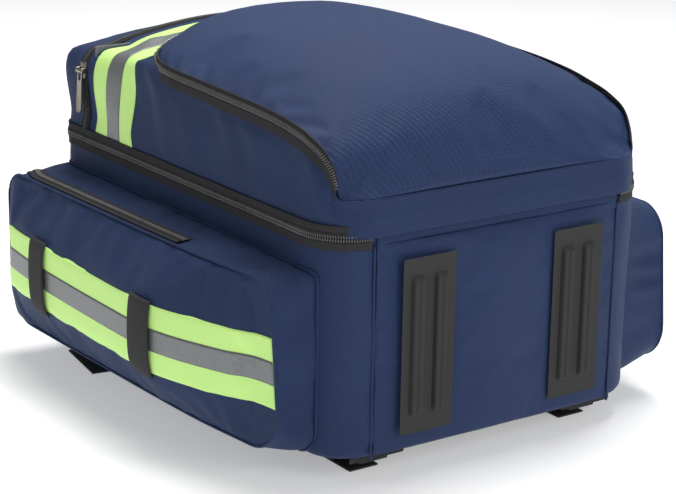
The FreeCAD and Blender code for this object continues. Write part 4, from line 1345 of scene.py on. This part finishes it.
    def loops(self) -> None:
        """The two webbing loops over the tape, sewn at both ends and standing a little proud."""
        tree = surface(self.face_piece)
        low, high = SHAPE.back + self.tape_low - 3.5 * MM, SHAPE.back + self.tape_high + 2.5 * MM
        parts = []
        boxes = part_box(f"{self.name}_pocket_loops")
        for centre in (boxes[0].y + 12.5 * MM, boxes[1].y - 12.5 * MM):
            columns = []
            for i in range(9):
                y = centre + mix(-12.5, 12.5, i / 8) * MM
                line, back = [], []
                for k in range(25):
                    z = mix(low, high, k / 24)
                    found, normal, _, _ = tree.find_nearest(self.at(self.face_x(y, z), y, z))
                    proud = 1.2 * MM + 1.8 * MM * math.sin(math.pi * k / 24) ** 0.7
                    line.append(found + normal * (proud + 1.2 * MM))
                    back.append(found + normal * proud)
                columns.append(line + back[::-1] + [line[0]])
            parts.append(capped(closed(woven(columns))))
        make_piece(f"{self.name}_pocket_webbing", joined(parts), (Finish.WEBBING,),
                   Role("root", "black_webbing", (f"{self.name}_pocket_loops",)))

    def zip(self) -> None:
        """The pocket's zip beside the face's seam, turning down over its far end."""
        outer = self.face_plan()
        tree = surface(self.gusset_piece)
        walk = self.zip_walk(outer, SHAPE.y(139 * MM) - self.middle, 60 * MM)
        line, outward = [], []
        for u, v, nu, nv in walk:
            y = self.leaned(u, v)
            end = smooth((y - SHAPE.y(SHAPE.length - 30 * MM)) / (25 * MM))
            x = mix(self.seam_x(y) - self.band_offset, self.slider_x, end)
            guess = self.at(x, y, v) + Vector((0, nu, nv)) * 2 * MM
            found, _, _, _ = tree.find_nearest(guess)
            line.append(found)
            outward.append(Vector((0, nu, nv)))
        line = [sum(line[max(i - 4, 0):i + 5], Vector()) / len(line[max(i - 4, 0):i + 5])
                for i in range(len(line))]
        seam = Seam(line, outward, [X_AXIS * self.side for _ in line])
        sizes = ZipSize(7.2 * MM, 1.6 * MM, 3.0 * MM, 0.7 * MM, 0.7 * MM)
        node = f"{self.name}_pocket_zip"
        ZipHalf(f"{node}_inner", seam, False, "root", (node,), sizes).build()
        ZipHalf(f"{node}_outer", seam, True, "root", (), sizes).build()

    @staticmethod
    def zip_walk(outer: Plan, start: float, drop: float) -> list[tuple[float, float, float, float]]:
        """Places along the top of the face's outline, from a place on it round its far corner and down.

        Args:
            outer: the face's outline, whose far side is its top.
            start: where the zip begins, from the outline's middle.
            drop: how far down the far end it goes.
        Returns:
            The two coordinates and the outward normal of each place.
        """
        steps = 520
        places = [outer.walk(outer.length * i / steps) for i in range(steps)]
        chosen = [p for p in places if p[0] > start and p[1] > outer.far - drop]
        return sorted(chosen, key=lambda p: p[0] if p[1] > outer.far - outer.r_far else 9 + outer.far - p[1])


# ---- cover ----------------------------------------------------------------------------------------------
@dataclass
class Cover:
    """The hinged cover: its cloth walls and deck, its fold, band, zips, lining and inner pockets."""

    wall: float = 4 * MM
    edge_round: float = 17 * MM
    far_round: float = 6 * MM
    band_start: float = 273 * MM
    band_width: float = 60 * MM

    def build(self) -> None:
        """Builds the cover's pieces in order."""
        self.cloth()
        self.fold()
        self.band()
        self.rim_zip()
        self.flap_zip()
        self.top_zip()
        self.lining()

    def column(self, s: float, rows: int) -> Column:
        """The cover's section at a distance round its plan: up its wall, over its edge, across its deck."""
        plan, flap = SHAPE.plan(), SHAPE.flap_plan()
        x, y, nx, ny = plan.walk(s)
        local = y - SHAPE.y0
        straight = SHAPE.flap_reach - SHAPE.flap_corner
        if local <= straight:
            top = SHAPE.split(x, y)
            return [SHAPE.wall(x, y, nx, ny, top * k / rows) for k in range(rows + 1)]
        half_far = plan.half - plan.r_near
        side_run = SHAPE.length - plan.r_far - straight
        total = 2 * side_run + math.pi * plan.r_far + 2 * (plan.half - plan.r_far)
        first = half_far + math.pi / 2 * plan.r_near + straight - plan.r_near
        share = (s - first) / total
        begin = flap.half - flap.r_near + math.pi / 2 * flap.r_near + straight - flap.r_near
        along = math.pi * flap.r_far + 2 * (flap.half - flap.r_far)
        fx, fy, _, _ = flap.walk(begin + share * along)
        target = Vector((fx, fy, SHAPE.rim + SHAPE.flap_height(fx, fy)))
        height = SHAPE.deck(x, y)
        corner = SHAPE.wall(x, y, nx, ny, height)
        inward = Vector((target.x - corner.x, target.y - corner.y, 0))
        run = inward.length
        radius = min(mix(self.edge_round, self.far_round, max(ny, 0)), 0.5 * run + 0.1 * MM)
        deck = []
        for k in range(1, 13):
            t = k / 12
            px, py = corner.x + inward.x * t, corner.y + inward.y * t
            z = mix(SHAPE.deck(px, py), target.z - SHAPE.rim, smooth((t - 0.6) / 0.4))
            deck.append(Vector((px, py, SHAPE.rim + z)))
        below = SHAPE.wall(x, y, nx, ny, height - radius)
        after = corner + inward.normalized() * radius if run > MM else corner
        after.z = SHAPE.rim + SHAPE.deck(after.x, after.y)
        bend = [below.lerp(corner, t).lerp(corner.lerp(after, t), t) for t in (0, 0.25, 0.5, 0.75, 1)]
        line = [SHAPE.wall(x, y, nx, ny, 0)] + bend
        line += [p for p in deck if (p - corner).length > radius * 1.05]
        return respaced(line, rows)

    def cloth(self) -> None:
        """The walls and the deck in one sheet, open under the flap, puckered along its zips."""
        plan = SHAPE.plan()
        count, rows = 340, 34
        total = plan.length
        columns = []
        for i in range(count + 1):
            s = total * (i % count) / count
            _, _, nx, ny = plan.walk(s)
            column = self.column(s, rows)
            run, length = 0.0, length_of(column)
            shaped = []
            for j, point in enumerate(column):
                run += (point - column[j - 1]).length if j else 0.0
                away = length - run
                step = column[min(j + 1, rows)] - column[max(j - 1, 0)]
                side = Vector((-ny, nx, 0)) if step.length else X_AXIS
                normal = side.cross(step).normalized()
                if normal.dot(Vector((nx, ny, 0.6))) < 0:
                    normal = -normal
                hold = smooth((run - 6 * MM) / (16 * MM)) * smooth((away - 8 * MM) / (12 * MM))
                side_wall = abs(nx)
                fold = pucker(s + 0.7 * away, away, 2.6 * MM, 46 * MM, 34 * MM, 31) * side_wall
                fold += pucker(s - 0.5 * run, run, 1.8 * MM, 57 * MM, 30 * MM, 37) * side_wall
                fold += slack(point, 5.0 * MM, 52 * MM, 8) * mix(0.25, 1, side_wall)
                fold += 1.6 * MM * math.sin(math.pi * run / length)
                shaped.append(point + normal * (fold * hold))
            columns.append(shaped)
        bm = closed(woven(columns))
        facing(bm, lambda p: Vector((p.x, p.y + 0.02, 0.12)))
        piece = make_object("cover_cloth", bm, (Finish.NAVY, Finish.LINING))
        thicken(piece, self.wall, 1)
        settle(piece, Role("cover", "navy_fabric", ("cover_shell",)))
        self.cloth_piece = piece

    def fold(self) -> None:
        """The cloth hinge at the feet end, sunk behind the cover's lip."""
        low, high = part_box("bottom_panel")
        columns = []
        for i in range(61):
            x = mix(low.x, high.x, i / 60)
            column = []
            for k in range(13):
                z = mix(high.z - 5 * MM, SHAPE.rim + 6 * MM, k / 12)
                sunk = math.exp(-((z - SHAPE.rim) / (3.5 * MM)) ** 2)
                out = mix(1.6 * MM, 0.9 * MM, k / 12) - 0.7 * MM * sunk
                column.append(Vector((x, SHAPE.y0 - out, z)))
            columns.append(column)
        bm = facing(woven(columns), lambda p: -Y_AXIS)
        piece = make_object("hinge_fold", bm, (Finish.NAVY,))
        thicken(piece, 0.6 * MM)
        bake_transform(piece)
        LOG.info("%-28s %6d faces between root and cover", piece.name, len(piece.data.polygons))

    def section(self, y: float, points: int, foot: float) -> Column:
        """The cover's outline across the bag at one place along it, from one wall's foot to the other's."""
        plan = SHAPE.plan()
        reach = plan.reach(y)
        height = SHAPE.deck(reach, y)
        line = []
        for k in range(9):
            z = mix(foot, height - self.edge_round, k / 8)
            line.append(Vector((-reach + SHAPE.lean * z / SHAPE.side, y, SHAPE.rim + z)))
        top = Vector((line[-1].x + 0.4 * MM, y, SHAPE.rim + height))
        after = Vector((top.x + self.edge_round, y, 0))
        after.z = SHAPE.rim + SHAPE.deck(after.x, y)
        line += [line[-1].lerp(top, t).lerp(top.lerp(after, t), t) for t in (0.25, 0.5, 0.75, 1)]
        for k in range(1, 25):
            x = mix(after.x, 0, k / 24)
            line.append(Vector((x, y, SHAPE.rim + SHAPE.deck(x, y))))
        mirrored = [Vector((-p.x, p.y, p.z)) for p in line[-2::-1]]
        return respaced(line + mirrored, points)

    def under_flap(self, grow: float) -> Callable[[Vector], bool]:
        """A test for places that the flap, grown by a margin, lies over."""
        flap = SHAPE.flap_plan()
        plan = Plan(flap.half + grow, flap.near - grow, flap.far + grow, flap.r_near + grow,
                    flap.r_far + grow)
        side_top = SHAPE.rim + 50 * MM

        def test(at: Vector) -> bool:
            return at.z > side_top and at.y < plan.far and abs(at.x) < plan.reach(at.y)
        return test

    def band(self) -> None:
        """The wide lime and silver band over the deck and down both walls."""
        tree = surface(self.cloth_piece)
        start = SHAPE.y(self.band_start)
        stripes = [self.section(start + self.band_width * k / 24, 240, 9 * MM) for k in range(25)]
        columns = [[row[i] for row in stripes] for i in range(241)]
        role = Role("cover", "reflective_tape", ("cover_reflective_band",))
        SidePocket.striped("cover_band", columns, tree, role, self.under_flap(3 * MM))

    def rim_zip(self) -> None:
        """The cover's half of the main zip."""
        plan = SHAPE.plan()
        start = plan.half - plan.r_near + SHAPE.zip_gap
        seam = wall_seam(plan, SHAPE.rim + 0.2 * MM, start, plan.length - start)
        ZipHalf("main_zip_upper_half", seam, True, "cover", ("main_zip_upper",)).build()

    def flap_seam(self) -> Seam:
        """The line where the flap parts from the cover, from its near left corner round to its right."""
        plan = SHAPE.flap_plan()
        first = plan.half - plan.r_near + 0.56 * math.pi / 2 * plan.r_near
        count = 420
        points, outward, up = [], [], []
        for i in range(count + 1):
            s = mix(first, plan.length - first, i / count)
            x, y, nx, ny = plan.walk(s)
            out = Vector((nx, ny, 0))
            point = Vector((x, y, SHAPE.rim + SHAPE.flap_height(x, y)))
            far = smooth((y - SHAPE.y(235 * MM)) / (60 * MM))
            rise = smooth((y - SHAPE.y(12 * MM)) / (30 * MM))
            turned = max(far, 0.75 * rise * smooth((x - 60 * MM) / (60 * MM)))
            lean = (Z_AXIS * mix(1, 0.55, turned) - out * mix(0.1, 0.6, turned)).normalized()
            points.append(point)
            up.append(lean)
            outward.append((out - lean * out.dot(lean)).normalized())
        return Seam(points, outward, up)

    def flap_zip(self) -> None:
        """The cover's half of the flap's zip: a wide tape below the coil."""
        ZipHalf("flap_zip_lower_half", self.flap_seam(), False, "cover", ("flap_zip_lower",),
                ZipSize(9.5 * MM)).build()

    def top_zip(self) -> None:
        """The top pocket's zip across the deck and down both walls."""
        tree = surface(self.cloth_piece)
        low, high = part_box("top_pocket_zip")
        y = (low.y + high.y) / 2
        line = self.section(y, 260, 9 * MM)
        points, outward = [], []
        for point in line:
            found, normal, _, _ = tree.find_nearest(point)
            points.append(Vector((found.x, y, found.z)))
            outward.append(Vector((normal.x, 0, normal.z)).normalized())
        seam = Seam(points, outward, [Y_AXIS.copy() for _ in points])
        sizes = ZipSize(5.2 * MM, 1.4 * MM, 3.0 * MM, 0.3 * MM, 0.6 * MM)
        ZipHalf("top_zip_near_half", seam, False, "cover", ("top_pocket_zip",), sizes).build()
        ZipHalf("top_zip_far_half", seam, True, "cover", (), sizes).build()

    def lining(self) -> None:
        """The lining, the net pocket on it, the organiser and the wall of the top pocket."""
        for name, node, corner, finish, slot, crown in (
                ("cover_lining", "cover_panel", 28 * MM, Finish.LINING, "lining_fabric", 0.8 * MM),
                ("net_pocket", "cover_mesh_pocket", 12 * MM, Finish.NET, "black_mesh", 2.5 * MM),
                ("organiser", "front_organiser", 10 * MM, Finish.NAVY, "navy_fabric", 2 * MM)):
            pad_piece(name, *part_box(node), corner, finish, Role("cover", slot, (node,)), crown)
        partition = block(*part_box("top_pocket_partition"), 0.6 * MM)
        make_piece("top_pocket_wall", with_pattern(partition), (Finish.LINING,),
                   Role("cover", "lining_fabric", ("top_pocket_partition",)))


def outline(node: str) -> bmesh.types.BMesh:
    """The shape of one of the frame's nodes, its flat faces whole."""
    bm = bmesh.new()
    bm.from_mesh(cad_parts[node].data)
    bmesh.ops.remove_doubles(bm, verts=bm.verts, dist=0.01 * MM)
    bmesh.ops.dissolve_limit(bm, angle_limit=math.radians(3), verts=bm.verts, edges=bm.edges)
    return painted(bm, 0)


def finish_node(node: str, finish: Finish) -> None:
    """Gives one of the frame's nodes that is kept as it is its finish."""
    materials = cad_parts[node].data.materials
    materials.clear()
    materials.append(finish.material)


def with_pattern(bm: bmesh.types.BMesh) -> bmesh.types.BMesh:
    """Gives every face a flat pattern in metres, from the side that it looks to."""
    layer = bm.loops.layers.uv.get("flat") or bm.loops.layers.uv.new("flat")
    bm.normal_update()
    for face in bm.faces:
        n = face.normal
        axis = max(range(3), key=lambda k: abs(n[k]))
        u, v = [k for k in range(3) if k != axis]
        for loop in face.loops:
            loop[layer].uv = (loop.vert.co[u], loop.vert.co[v])
    return bm


def pad_piece(name: str, low: Vector, high: Vector, corner: float, finish: Finish, role: Role,
              crown: float, channels: int = 0, padded: bool = False) -> bpy.types.Object:
    """A flat pad with a crowned face and pulled-in edges, between two corners.

    Args:
        name: the piece's name.
        low: its lowest corner.
        high: its highest corner.
        corner: the radius of its plan's corners.
        finish: its cloth.
        role: where it belongs.
        crown: how much of its thickness goes at its edges.
        channels: sewn channels across it.
        padded: true where it is stuffed; not used.
    Returns:
        The piece.
    """
    centre = (low + high) / 2
    plan = Plan((high.x - low.x) / 2, low.y, high.y, corner, corner)
    places = plan.sheet(36, 44, 0.7)
    half = (high.z - low.z) / 2

    def level(u: float, y: float) -> float:
        edge = min(plan.reach(y) - abs(u), y - low.y, high.y - y)
        rise = swell(edge / (7 * MM), 2, 2)
        sewn = 1.0
        if channels:
            wave = abs(math.sin(math.pi * channels * (y - low.y) / (high.y - low.y)))
            sewn = mix(0.45, 1, smooth(wave * 2.2))
        return max(half - crown * (1 - rise), 0.3 * MM) * mix(0.3, 1, rise) * sewn
    sheets = []
    for way in (1, -1):
        columns = [[Vector((centre.x + u, y, centre.z + way * level(u, y))) for u, y in line]
                   for line in places]
        flat = [[(u, y) for u, y in line] for line in places]
        sheets.append(facing(woven(columns, flat), lambda p, way=way: Z_AXIS * way))
    bm = joined(sheets)
    rims = [e for e in bm.edges if e.is_boundary]
    bmesh.ops.bridge_loops(bm, edges=rims)
    bmesh.ops.recalc_face_normals(bm, faces=bm.faces)
    piece = make_object(name, bm, (finish,))
    subdivide(piece)
    settle(piece, role)
    return piece


# ---- front flap -----------------------------------------------------------------------------------------
@dataclass
class FrontFlap:
    """The padded, domed front flap with its half of the zip and its sewn feet-end seam."""

    thickness: float = 4 * MM

    def build(self, seam: Seam) -> None:
        """Builds the flap and its zip half along the seam it shares with the cover."""
        self.dome()
        ZipHalf("flap_zip_upper_half", seam, True, "flap", ("flap_zip_upper",), ZipSize(5.2 * MM)).build()
        self.feet_seam()

    def dome(self) -> None:
        """The dome, settled over its padding by cloth simulation."""
        plan = SHAPE.flap_plan()
        places = plan.sheet(80, 84, 0.75)
        columns = []
        for line in places:
            column = []
            for x, y in line:
                point = Vector((x, y, SHAPE.rim + SHAPE.flap_height(x, y)))
                edge = min(plan.reach(y) - abs(x), y - plan.near, plan.far - y)
                fold = pucker(y - x, edge, 1.0 * MM, 27 * MM, 22 * MM, 51) * smooth(edge / (6 * MM))
                fold += slack(point, 1.6 * MM, 70 * MM, 12) * smooth(edge / (20 * MM))
                column.append(point + Z_AXIS * fold)
            columns.append(column)
        flat = [[(x + 1, y + 1) for x, y in line] for line in places]
        bm = facing(woven(columns, flat), lambda p: Z_AXIS)
        piece = make_object("front_flap", bm, (Finish.NAVY, Finish.LINING))

        def held(at: Vector) -> float:
            edge = min(plan.reach(at.y) - abs(at.x), at.y - plan.near, plan.far - at.y)
            return 1.0 if edge < 1.5 * MM else 0.0
        inflate(piece, held, 0.8, 3.5 * MM, 0.008)
        thicken(piece, self.thickness, 1)
        subdivide(piece)
        settle(piece, Role("flap", "navy_fabric", ("flap_shell",)))

    def feet_seam(self) -> None:
        """The stitched seam that is the flap's hinge."""
        plan = SHAPE.flap_plan()
        reach = plan.half - 0.6 * plan.r_near
        line = [Vector((mix(-reach, reach, i / 60), SHAPE.y0 - 0.2 * MM, SHAPE.rim + SHAPE.seam - 1.5 * MM))
                for i in range(61)]
        seam = Seam(line, [-Y_AXIS] * 61, [Z_AXIS] * 61)
        stitch_row("flap_seam_stitches", seam, 0.0, 0.25 * MM, Role("cover", "navy_fabric"))


# ---- back, straps and handle ----------------------------------------------------------------------------
@dataclass
class BackAndStraps:
    """The padded back, the shoulder straps with their webbing and locks, and the carrying handle."""

    def build(self) -> None:
        """Builds the pieces in order."""
        low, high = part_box("back_pad")
        pad_piece("back_cushion", low, high, 18 * MM, Finish.PADDING,
                  Role("root", "pad_fabric", ("back_pad",)), 2 * MM, 5, True)
        low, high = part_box("strap_yoke")
        pad_piece("yoke_pad", low, high, 8 * MM, Finish.NAVY, Role("root", "navy_fabric", ("strap_yoke",)),
                  2 * MM, 0, True)
        for name in SIDES:
            self.strap(name)
            self.webbings(name)
            finish_node(f"ladder_lock_{name}", Finish.PLASTIC)
        self.handle()

    def dressed_copy(self, name: str, node: str, finish: Finish, role: Role, bevel: float) -> bpy.types.Object:
        """A cloth piece cut to a frame node's outline, with rounded, sewn-looking edges.

        Args:
            name: the piece's name.
            node: the frame's node whose outline it takes.
            finish: its cloth.
            role: where it belongs.
            bevel: radius of its edges.
        Returns:
            The piece.
        """
        bm = outline(node)
        sharp = [e for e in bm.edges if len(e.link_faces) == 2 and e.calc_face_angle() > math.radians(30)]
        bmesh.ops.bevel(bm, geom=sharp, offset=bevel, segments=3, profile=0.5, affect="EDGES", material=-1)
        bmesh.ops.triangulate(bm, faces=bm.faces)
        piece = make_object(name, with_pattern(bm), (finish,))
        settle(piece, role)
        return piece

    def strap(self, name: str) -> None:
        """A padded shoulder strap."""
        node = f"shoulder_strap_{name}"
        self.dressed_copy(f"padded_strap_{name}", node, Finish.PADDING, Role("root", "pad_fabric", (node,)),
                          2.6 * MM)

    def webbings(self, name: str) -> None:
        """The adjuster, the load lifter and the sewn corner anchor."""
        for kind, bevel in (("adjuster_webbing", 0.5 * MM), ("lifter_webbing", 0.5 * MM),
                            ("strap_anchor", 1.5 * MM)):
            node = f"{kind}_{name}"
            slot = "navy_fabric" if kind == "strap_anchor" else "black_webbing"
            role = Role("root", slot, (node,))
            # The corner anchor is navy fabric but gets the black webbing finish, so that it sinks into the
            # shade under the bag: painted shade.
            piece = self.dressed_copy(f"{kind}_cloth_{name}", node, Finish.WEBBING, role, bevel)
            if kind == "strap_anchor":
                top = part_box(node)[1].z
                for vert in piece.data.vertices:
                    vert.co.y = max(vert.co.y, SHAPE.y0 + 9 * MM)
                    vert.co.z = mix(top, vert.co.z, 0.45)

    def handle(self) -> None:
        """The rolled carrying handle on its two sewn tabs."""
        low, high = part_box("grab_handle")
        radius = (high.z - low.z) / 2
        half = (high.x - low.x) / 2 - radius
        z, base, reach = (low.z + high.z) / 2, low.y + radius, high.y - low.y - 2 * radius
        path, radii = [], []
        for i in range(61):
            t = mix(-1, 1, i / 60)
            y = base + reach * (1 - abs(t) ** 3.2) ** 0.6
            path.append(Vector((half * math.copysign(abs(t) ** 0.9, t), y, z)))
            grip = smooth((1 - abs(t)) / 0.35)
            radii.append(radius * mix(0.72, 0.98, grip))
        bar = tube(path, radii, 16, 0.96)
        seam = Seam([p + Vector((0, 0, radius * 0.97)) for p in path], [Z_AXIS] * 61, [Y_AXIS] * 61)
        stitches = painted(beads(bmesh.new(), seam.stitches(0, 0, 2.6 * MM)), 1)
        make_piece("rolled_handle", joined([bar, stitches]), (Finish.WEBBING, Finish.GREY_THREAD),
                   Role("grab_handle", "black_webbing", ("grab_handle",)))
        low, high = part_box("handle_tabs")
        wide = 25 * MM
        parts = []
        for side in SIDES.values():
            x0, x1 = sorted((side * high.x, side * (high.x - wide)))
            parts.append(block(Vector((x0, low.y, low.z)), Vector((x1, high.y, high.z)), 0.8 * MM))
        make_piece("handle_tab_patches", with_pattern(joined(parts)), (Finish.WEBBING,),
                   Role("root", "black_webbing", ("handle_tabs",)))


# ---- inside ---------------------------------------------------------------------------------------------
@dataclass
class Inside:
    """The boards, the padded dividers and the elastic strip."""

    def build(self) -> None:
        """Builds the inner pieces in order."""
        for node in ("back_board", "bottom_board"):
            finish_node(node, Finish.BOARD)
        make_piece("long_divider", with_pattern(block(*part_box("divider_long"), 3 * MM, 3)), (Finish.LINING,),
                   Role("root", "lining_fabric", ("divider_long",)))
        cross = outline("divider_cross")
        bmesh.ops.bevel(cross, geom=cross.edges[:], offset=3 * MM, segments=3, profile=0.5, affect="EDGES",
                        material=-1)
        make_piece("cross_dividers", with_pattern(cross), (Finish.LINING,),
                   Role("root", "lining_fabric", ("divider_cross",)))
        self.elastic()

    def elastic(self) -> None:
        """The elastic strip, sewn down between its loops."""
        low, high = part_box("elastic_strip")
        loops = 7
        columns = []
        for i in range(141):
            share = i / 140
            x = mix(low.x, high.x, share)
            bow = abs(math.sin(math.pi * loops * share)) ** 0.7
            out = 0.6 * MM + (high.y - low.y + 4 * MM) * bow
            heights = [mix(low.z, high.z, k / 6) for k in range(7)]
            columns.append([Vector((x, high.y - out, z)) for z in heights])
        bm = facing(woven(columns), lambda p: -Y_AXIS)
        piece = make_object("elastic_loops", bm, (Finish.WEBBING,))
        thicken(piece, 0.5 * MM)
        settle(piece, Role("root", "black_webbing", ("elastic_strip",)))


# ---- sliders and pulls ----------------------------------------------------------------------------------
@dataclass(frozen=True)
class ZipPuller:
    """A metal slider and its pull, made lying along +X with +Z outwards, then put in place."""

    name: str
    outward: tuple[float, float, float]
    run: tuple[float, float, float]
    pin_height: float = 5.3 * MM
    pull_length: float = 34 * MM
    pull_width: float = 7 * MM

    def place(self) -> Matrix:
        """The slider's frame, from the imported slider's box."""
        low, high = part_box(f"{self.name}_slider")
        out = Vector(self.outward).normalized()
        base = (low + high) / 2
        axis = max(range(3), key=lambda k: abs(out[k]))
        base[axis] = low[axis] if out[axis] > 0 else high[axis]
        return axes(Vector(self.run), out, base)

    def build(self) -> None:
        """Builds the slider and the pull."""
        place = self.place()
        for kind, bm in (("slider", self.slider()), ("pull", self.pull())):
            bmesh.ops.transform(bm, matrix=place, verts=bm.verts)
            node = f"{self.name}_{kind}"
            make_piece(f"{node}_metal", bm, (Finish.METAL,), Role(node, "zip_metal", (node,)), 0.25 * MM)

    def slider(self) -> bmesh.types.BMesh:
        """The slider: a waisted plate on its flanges, two ears and the pin."""
        plate = block(Vector((-6.5, -4.5, 1.6)) * MM, Vector((6.5, 4.5, 3.0)) * MM, 0.6 * MM)
        for vert in plate.verts:
            waist = 1 - 0.22 * smooth((vert.co.x / MM + 1) / 7.5)
            vert.co.y *= waist
        under = block(Vector((-6, -4.3, 0)) * MM, Vector((6, 4.3, 1.0)) * MM, 0.4 * MM)
        post = block(Vector((1.5, -1.5, 0.6)) * MM, Vector((5, 1.5, 2.2)) * MM, 0.3 * MM)
        parts = [plate, under, post]
        for way in (-1, 1):
            y0, y1 = sorted((way * 3.8, way * 5.0))
            parts.append(block(Vector((-2.2, y0, 2.0)) * MM, Vector((2.2, y1, 7.0)) * MM, 0.5 * MM, 3))
        parts.append(tube([Vector((0, y, self.pin_height / MM)) * MM for y in (-4.6, -2, 0, 2, 4.6)],
                          1.1 * MM, 12))
        return joined(parts)

    def pull(self) -> bmesh.types.BMesh:
        """The pull: an eye round the pin, two arms round a window, and a framed plate."""
        z, half = self.pin_height / MM, self.pull_width / MM / 2
        eye = tube([Vector((0, y, z)) * MM for y in (-half, -1, 1, half)], 1.95 * MM, 14)
        parts = [eye]
        for way in (-1, 1):
            y0, y1 = sorted((way * (half - 1.6), way * half))
            parts.append(block(Vector((0.8, y0, z - 0.7)) * MM, Vector((9.5, y1, z + 0.7)) * MM,
                               0.35 * MM, 3))
        plate = bmesh.new()
        bmesh.ops.create_cube(plate, size=1)
        length = self.pull_length / MM
        for vert in plate.verts:
            u, v, w = vert.co
            vert.co = Vector((mix(8, length, u + 0.5), 2 * half * v, z + 1.6 * w)) * MM
        upright = [e for e in plate.edges if abs(e.verts[0].co.z - e.verts[1].co.z) > MM
                   and e.verts[0].co.x > 20 * MM]
        bmesh.ops.bevel(plate, geom=upright, offset=2.2 * MM, segments=4, profile=0.5, affect="EDGES",
                        material=-1)
        flats = sorted(plate.faces, key=lambda f: -f.calc_area())[:2]
        bmesh.ops.inset_individual(plate, faces=flats, thickness=1.1 * MM, depth=-0.3 * MM)
        parts.append(plate)
        return joined(parts)


# ---- studio ---------------------------------------------------------------------------------------------
@dataclass(frozen=True)
class Studio:
    """The pale floor, the soft lights and the camera."""

    azimuth: float = 35.06
    elevation: float = 16.71
    roll: float = 0.92
    lens: float = 109.5
    eye: tuple[float, float, float] = (-0.9030, -1.2970, 0.5778)
    surround: float = 0.22
    floor_glow: float = 0.36
    softboxes: tuple[tuple[str, tuple[float, float, float], float, float], ...] = (
        ("softbox_top", (0.35, 0.3, 1.9), 1.2, 42.0), ("softbox_front", (0.5, -2.2, 1.2), 1.2, 15.0),
        ("softbox_left", (-2.0, -1.2, 1.1), 1.0, 4.0))

    def build(self) -> None:
        """Builds the studio."""
        self.camera()
        self.floor()
        self.lights()

    def camera(self) -> None:
        """A long lens from the left of the feet end, a little above the bag."""
        a, e, roll = (math.radians(v) for v in (self.azimuth, self.elevation, self.roll))
        right = Vector((math.cos(a), -math.sin(a), 0))
        back = Vector((-math.sin(a) * math.cos(e), -math.cos(a) * math.cos(e), math.sin(e)))
        up = back.cross(right)
        x = right * math.cos(roll) + up * math.sin(roll)
        y = up * math.cos(roll) - right * math.sin(roll)
        turn = Matrix((x, y, back)).transposed().to_4x4()
        lens = bpy.data.cameras.new("studio_camera")
        lens.lens, lens.sensor_width, lens.clip_end = self.lens, 36, 50
        camera = bpy.data.objects.new("studio_camera", lens)
        camera.matrix_world = Matrix.Translation(self.eye) @ turn
        bpy.context.scene.collection.objects.link(camera)
        bpy.context.scene.camera = camera

    def floor(self) -> None:
        """A plain white floor."""
        bm = bmesh.new()
        bmesh.ops.create_grid(bm, x_segments=1, y_segments=1, size=12)
        mesh = bpy.data.meshes.new("studio_floor")
        bm.to_mesh(mesh)
        bm.free()
        material = bpy.data.materials.new("studio_white")
        nodes = Nodes(material)
        nodes.finish(nodes.add("BsdfPrincipled", {"Base Color": (0.85, 0.85, 0.85, 1), "Roughness": 0.85,
                                                  "Specular IOR Level": 0.1, "Emission Color": (1, 1, 1, 1),
                                                  "Emission Strength": self.floor_glow}))
        mesh.materials.append(material)
        floor = bpy.data.objects.new("studio_floor", mesh)
        bpy.context.scene.collection.objects.link(floor)

    def lights(self) -> None:
        """A pale surround, a large softbox overhead and weaker ones in front and at the left."""
        world = bpy.data.worlds.new("studio_world")
        world.use_nodes = True
        background = world.node_tree.nodes["Background"].inputs
        background["Color"].default_value = (0.96, 0.98, 1, 1)
        background["Strength"].default_value = self.surround
        bpy.context.scene.world = world
        bpy.context.scene.view_settings.view_transform = "Standard"
        for name, place, size, power in self.softboxes:
            light = bpy.data.lights.new(name, "AREA")
            light.energy, light.size, light.shape = power, size, "SQUARE"
            lamp = bpy.data.objects.new(name, light)
            aim = Vector((0, 0, 0.12)) - Vector(place)
            lamp.matrix_world = Matrix.Translation(place) @ aim.to_track_quat("-Z", "Y").to_matrix().to_4x4()
            bpy.context.scene.collection.objects.link(lamp)


def pullers() -> list[ZipPuller]:
    """The seven sliders, with the wall each lies on and the way each pull points."""
    down = Vector((-SHAPE.lean, 0, -SHAPE.side)).normalized()
    found = []
    for name, side in SIDES.items():
        found.append(ZipPuller(f"main_{name}", (0, 1, 0), (side, 0, 0)))
        found.append(ZipPuller(f"flap_{name}", (0, 1, 0), (side, 0, 0)))
        found.append(ZipPuller(f"{name}_pocket", (0, 1, 0), (0, 0, -1)))
    found.append(ZipPuller("top", tuple(Y_AXIS.cross(down)), tuple(down)))
    return found


def main() -> None:
    """Builds the bag in order, and reports each piece."""
    logging.basicConfig(level=logging.INFO, format="%(message)s")
    Studio().build()
    MainCompartment().build()
    for name in SIDES:
        SidePocket(name).build()
    cover = Cover()
    cover.build()
    FrontFlap().build(cover.flap_seam())
    BackAndStraps().build()
    Inside().build()
    for puller in pullers():
        puller.build()


if __name__ == "__main__":
    main()
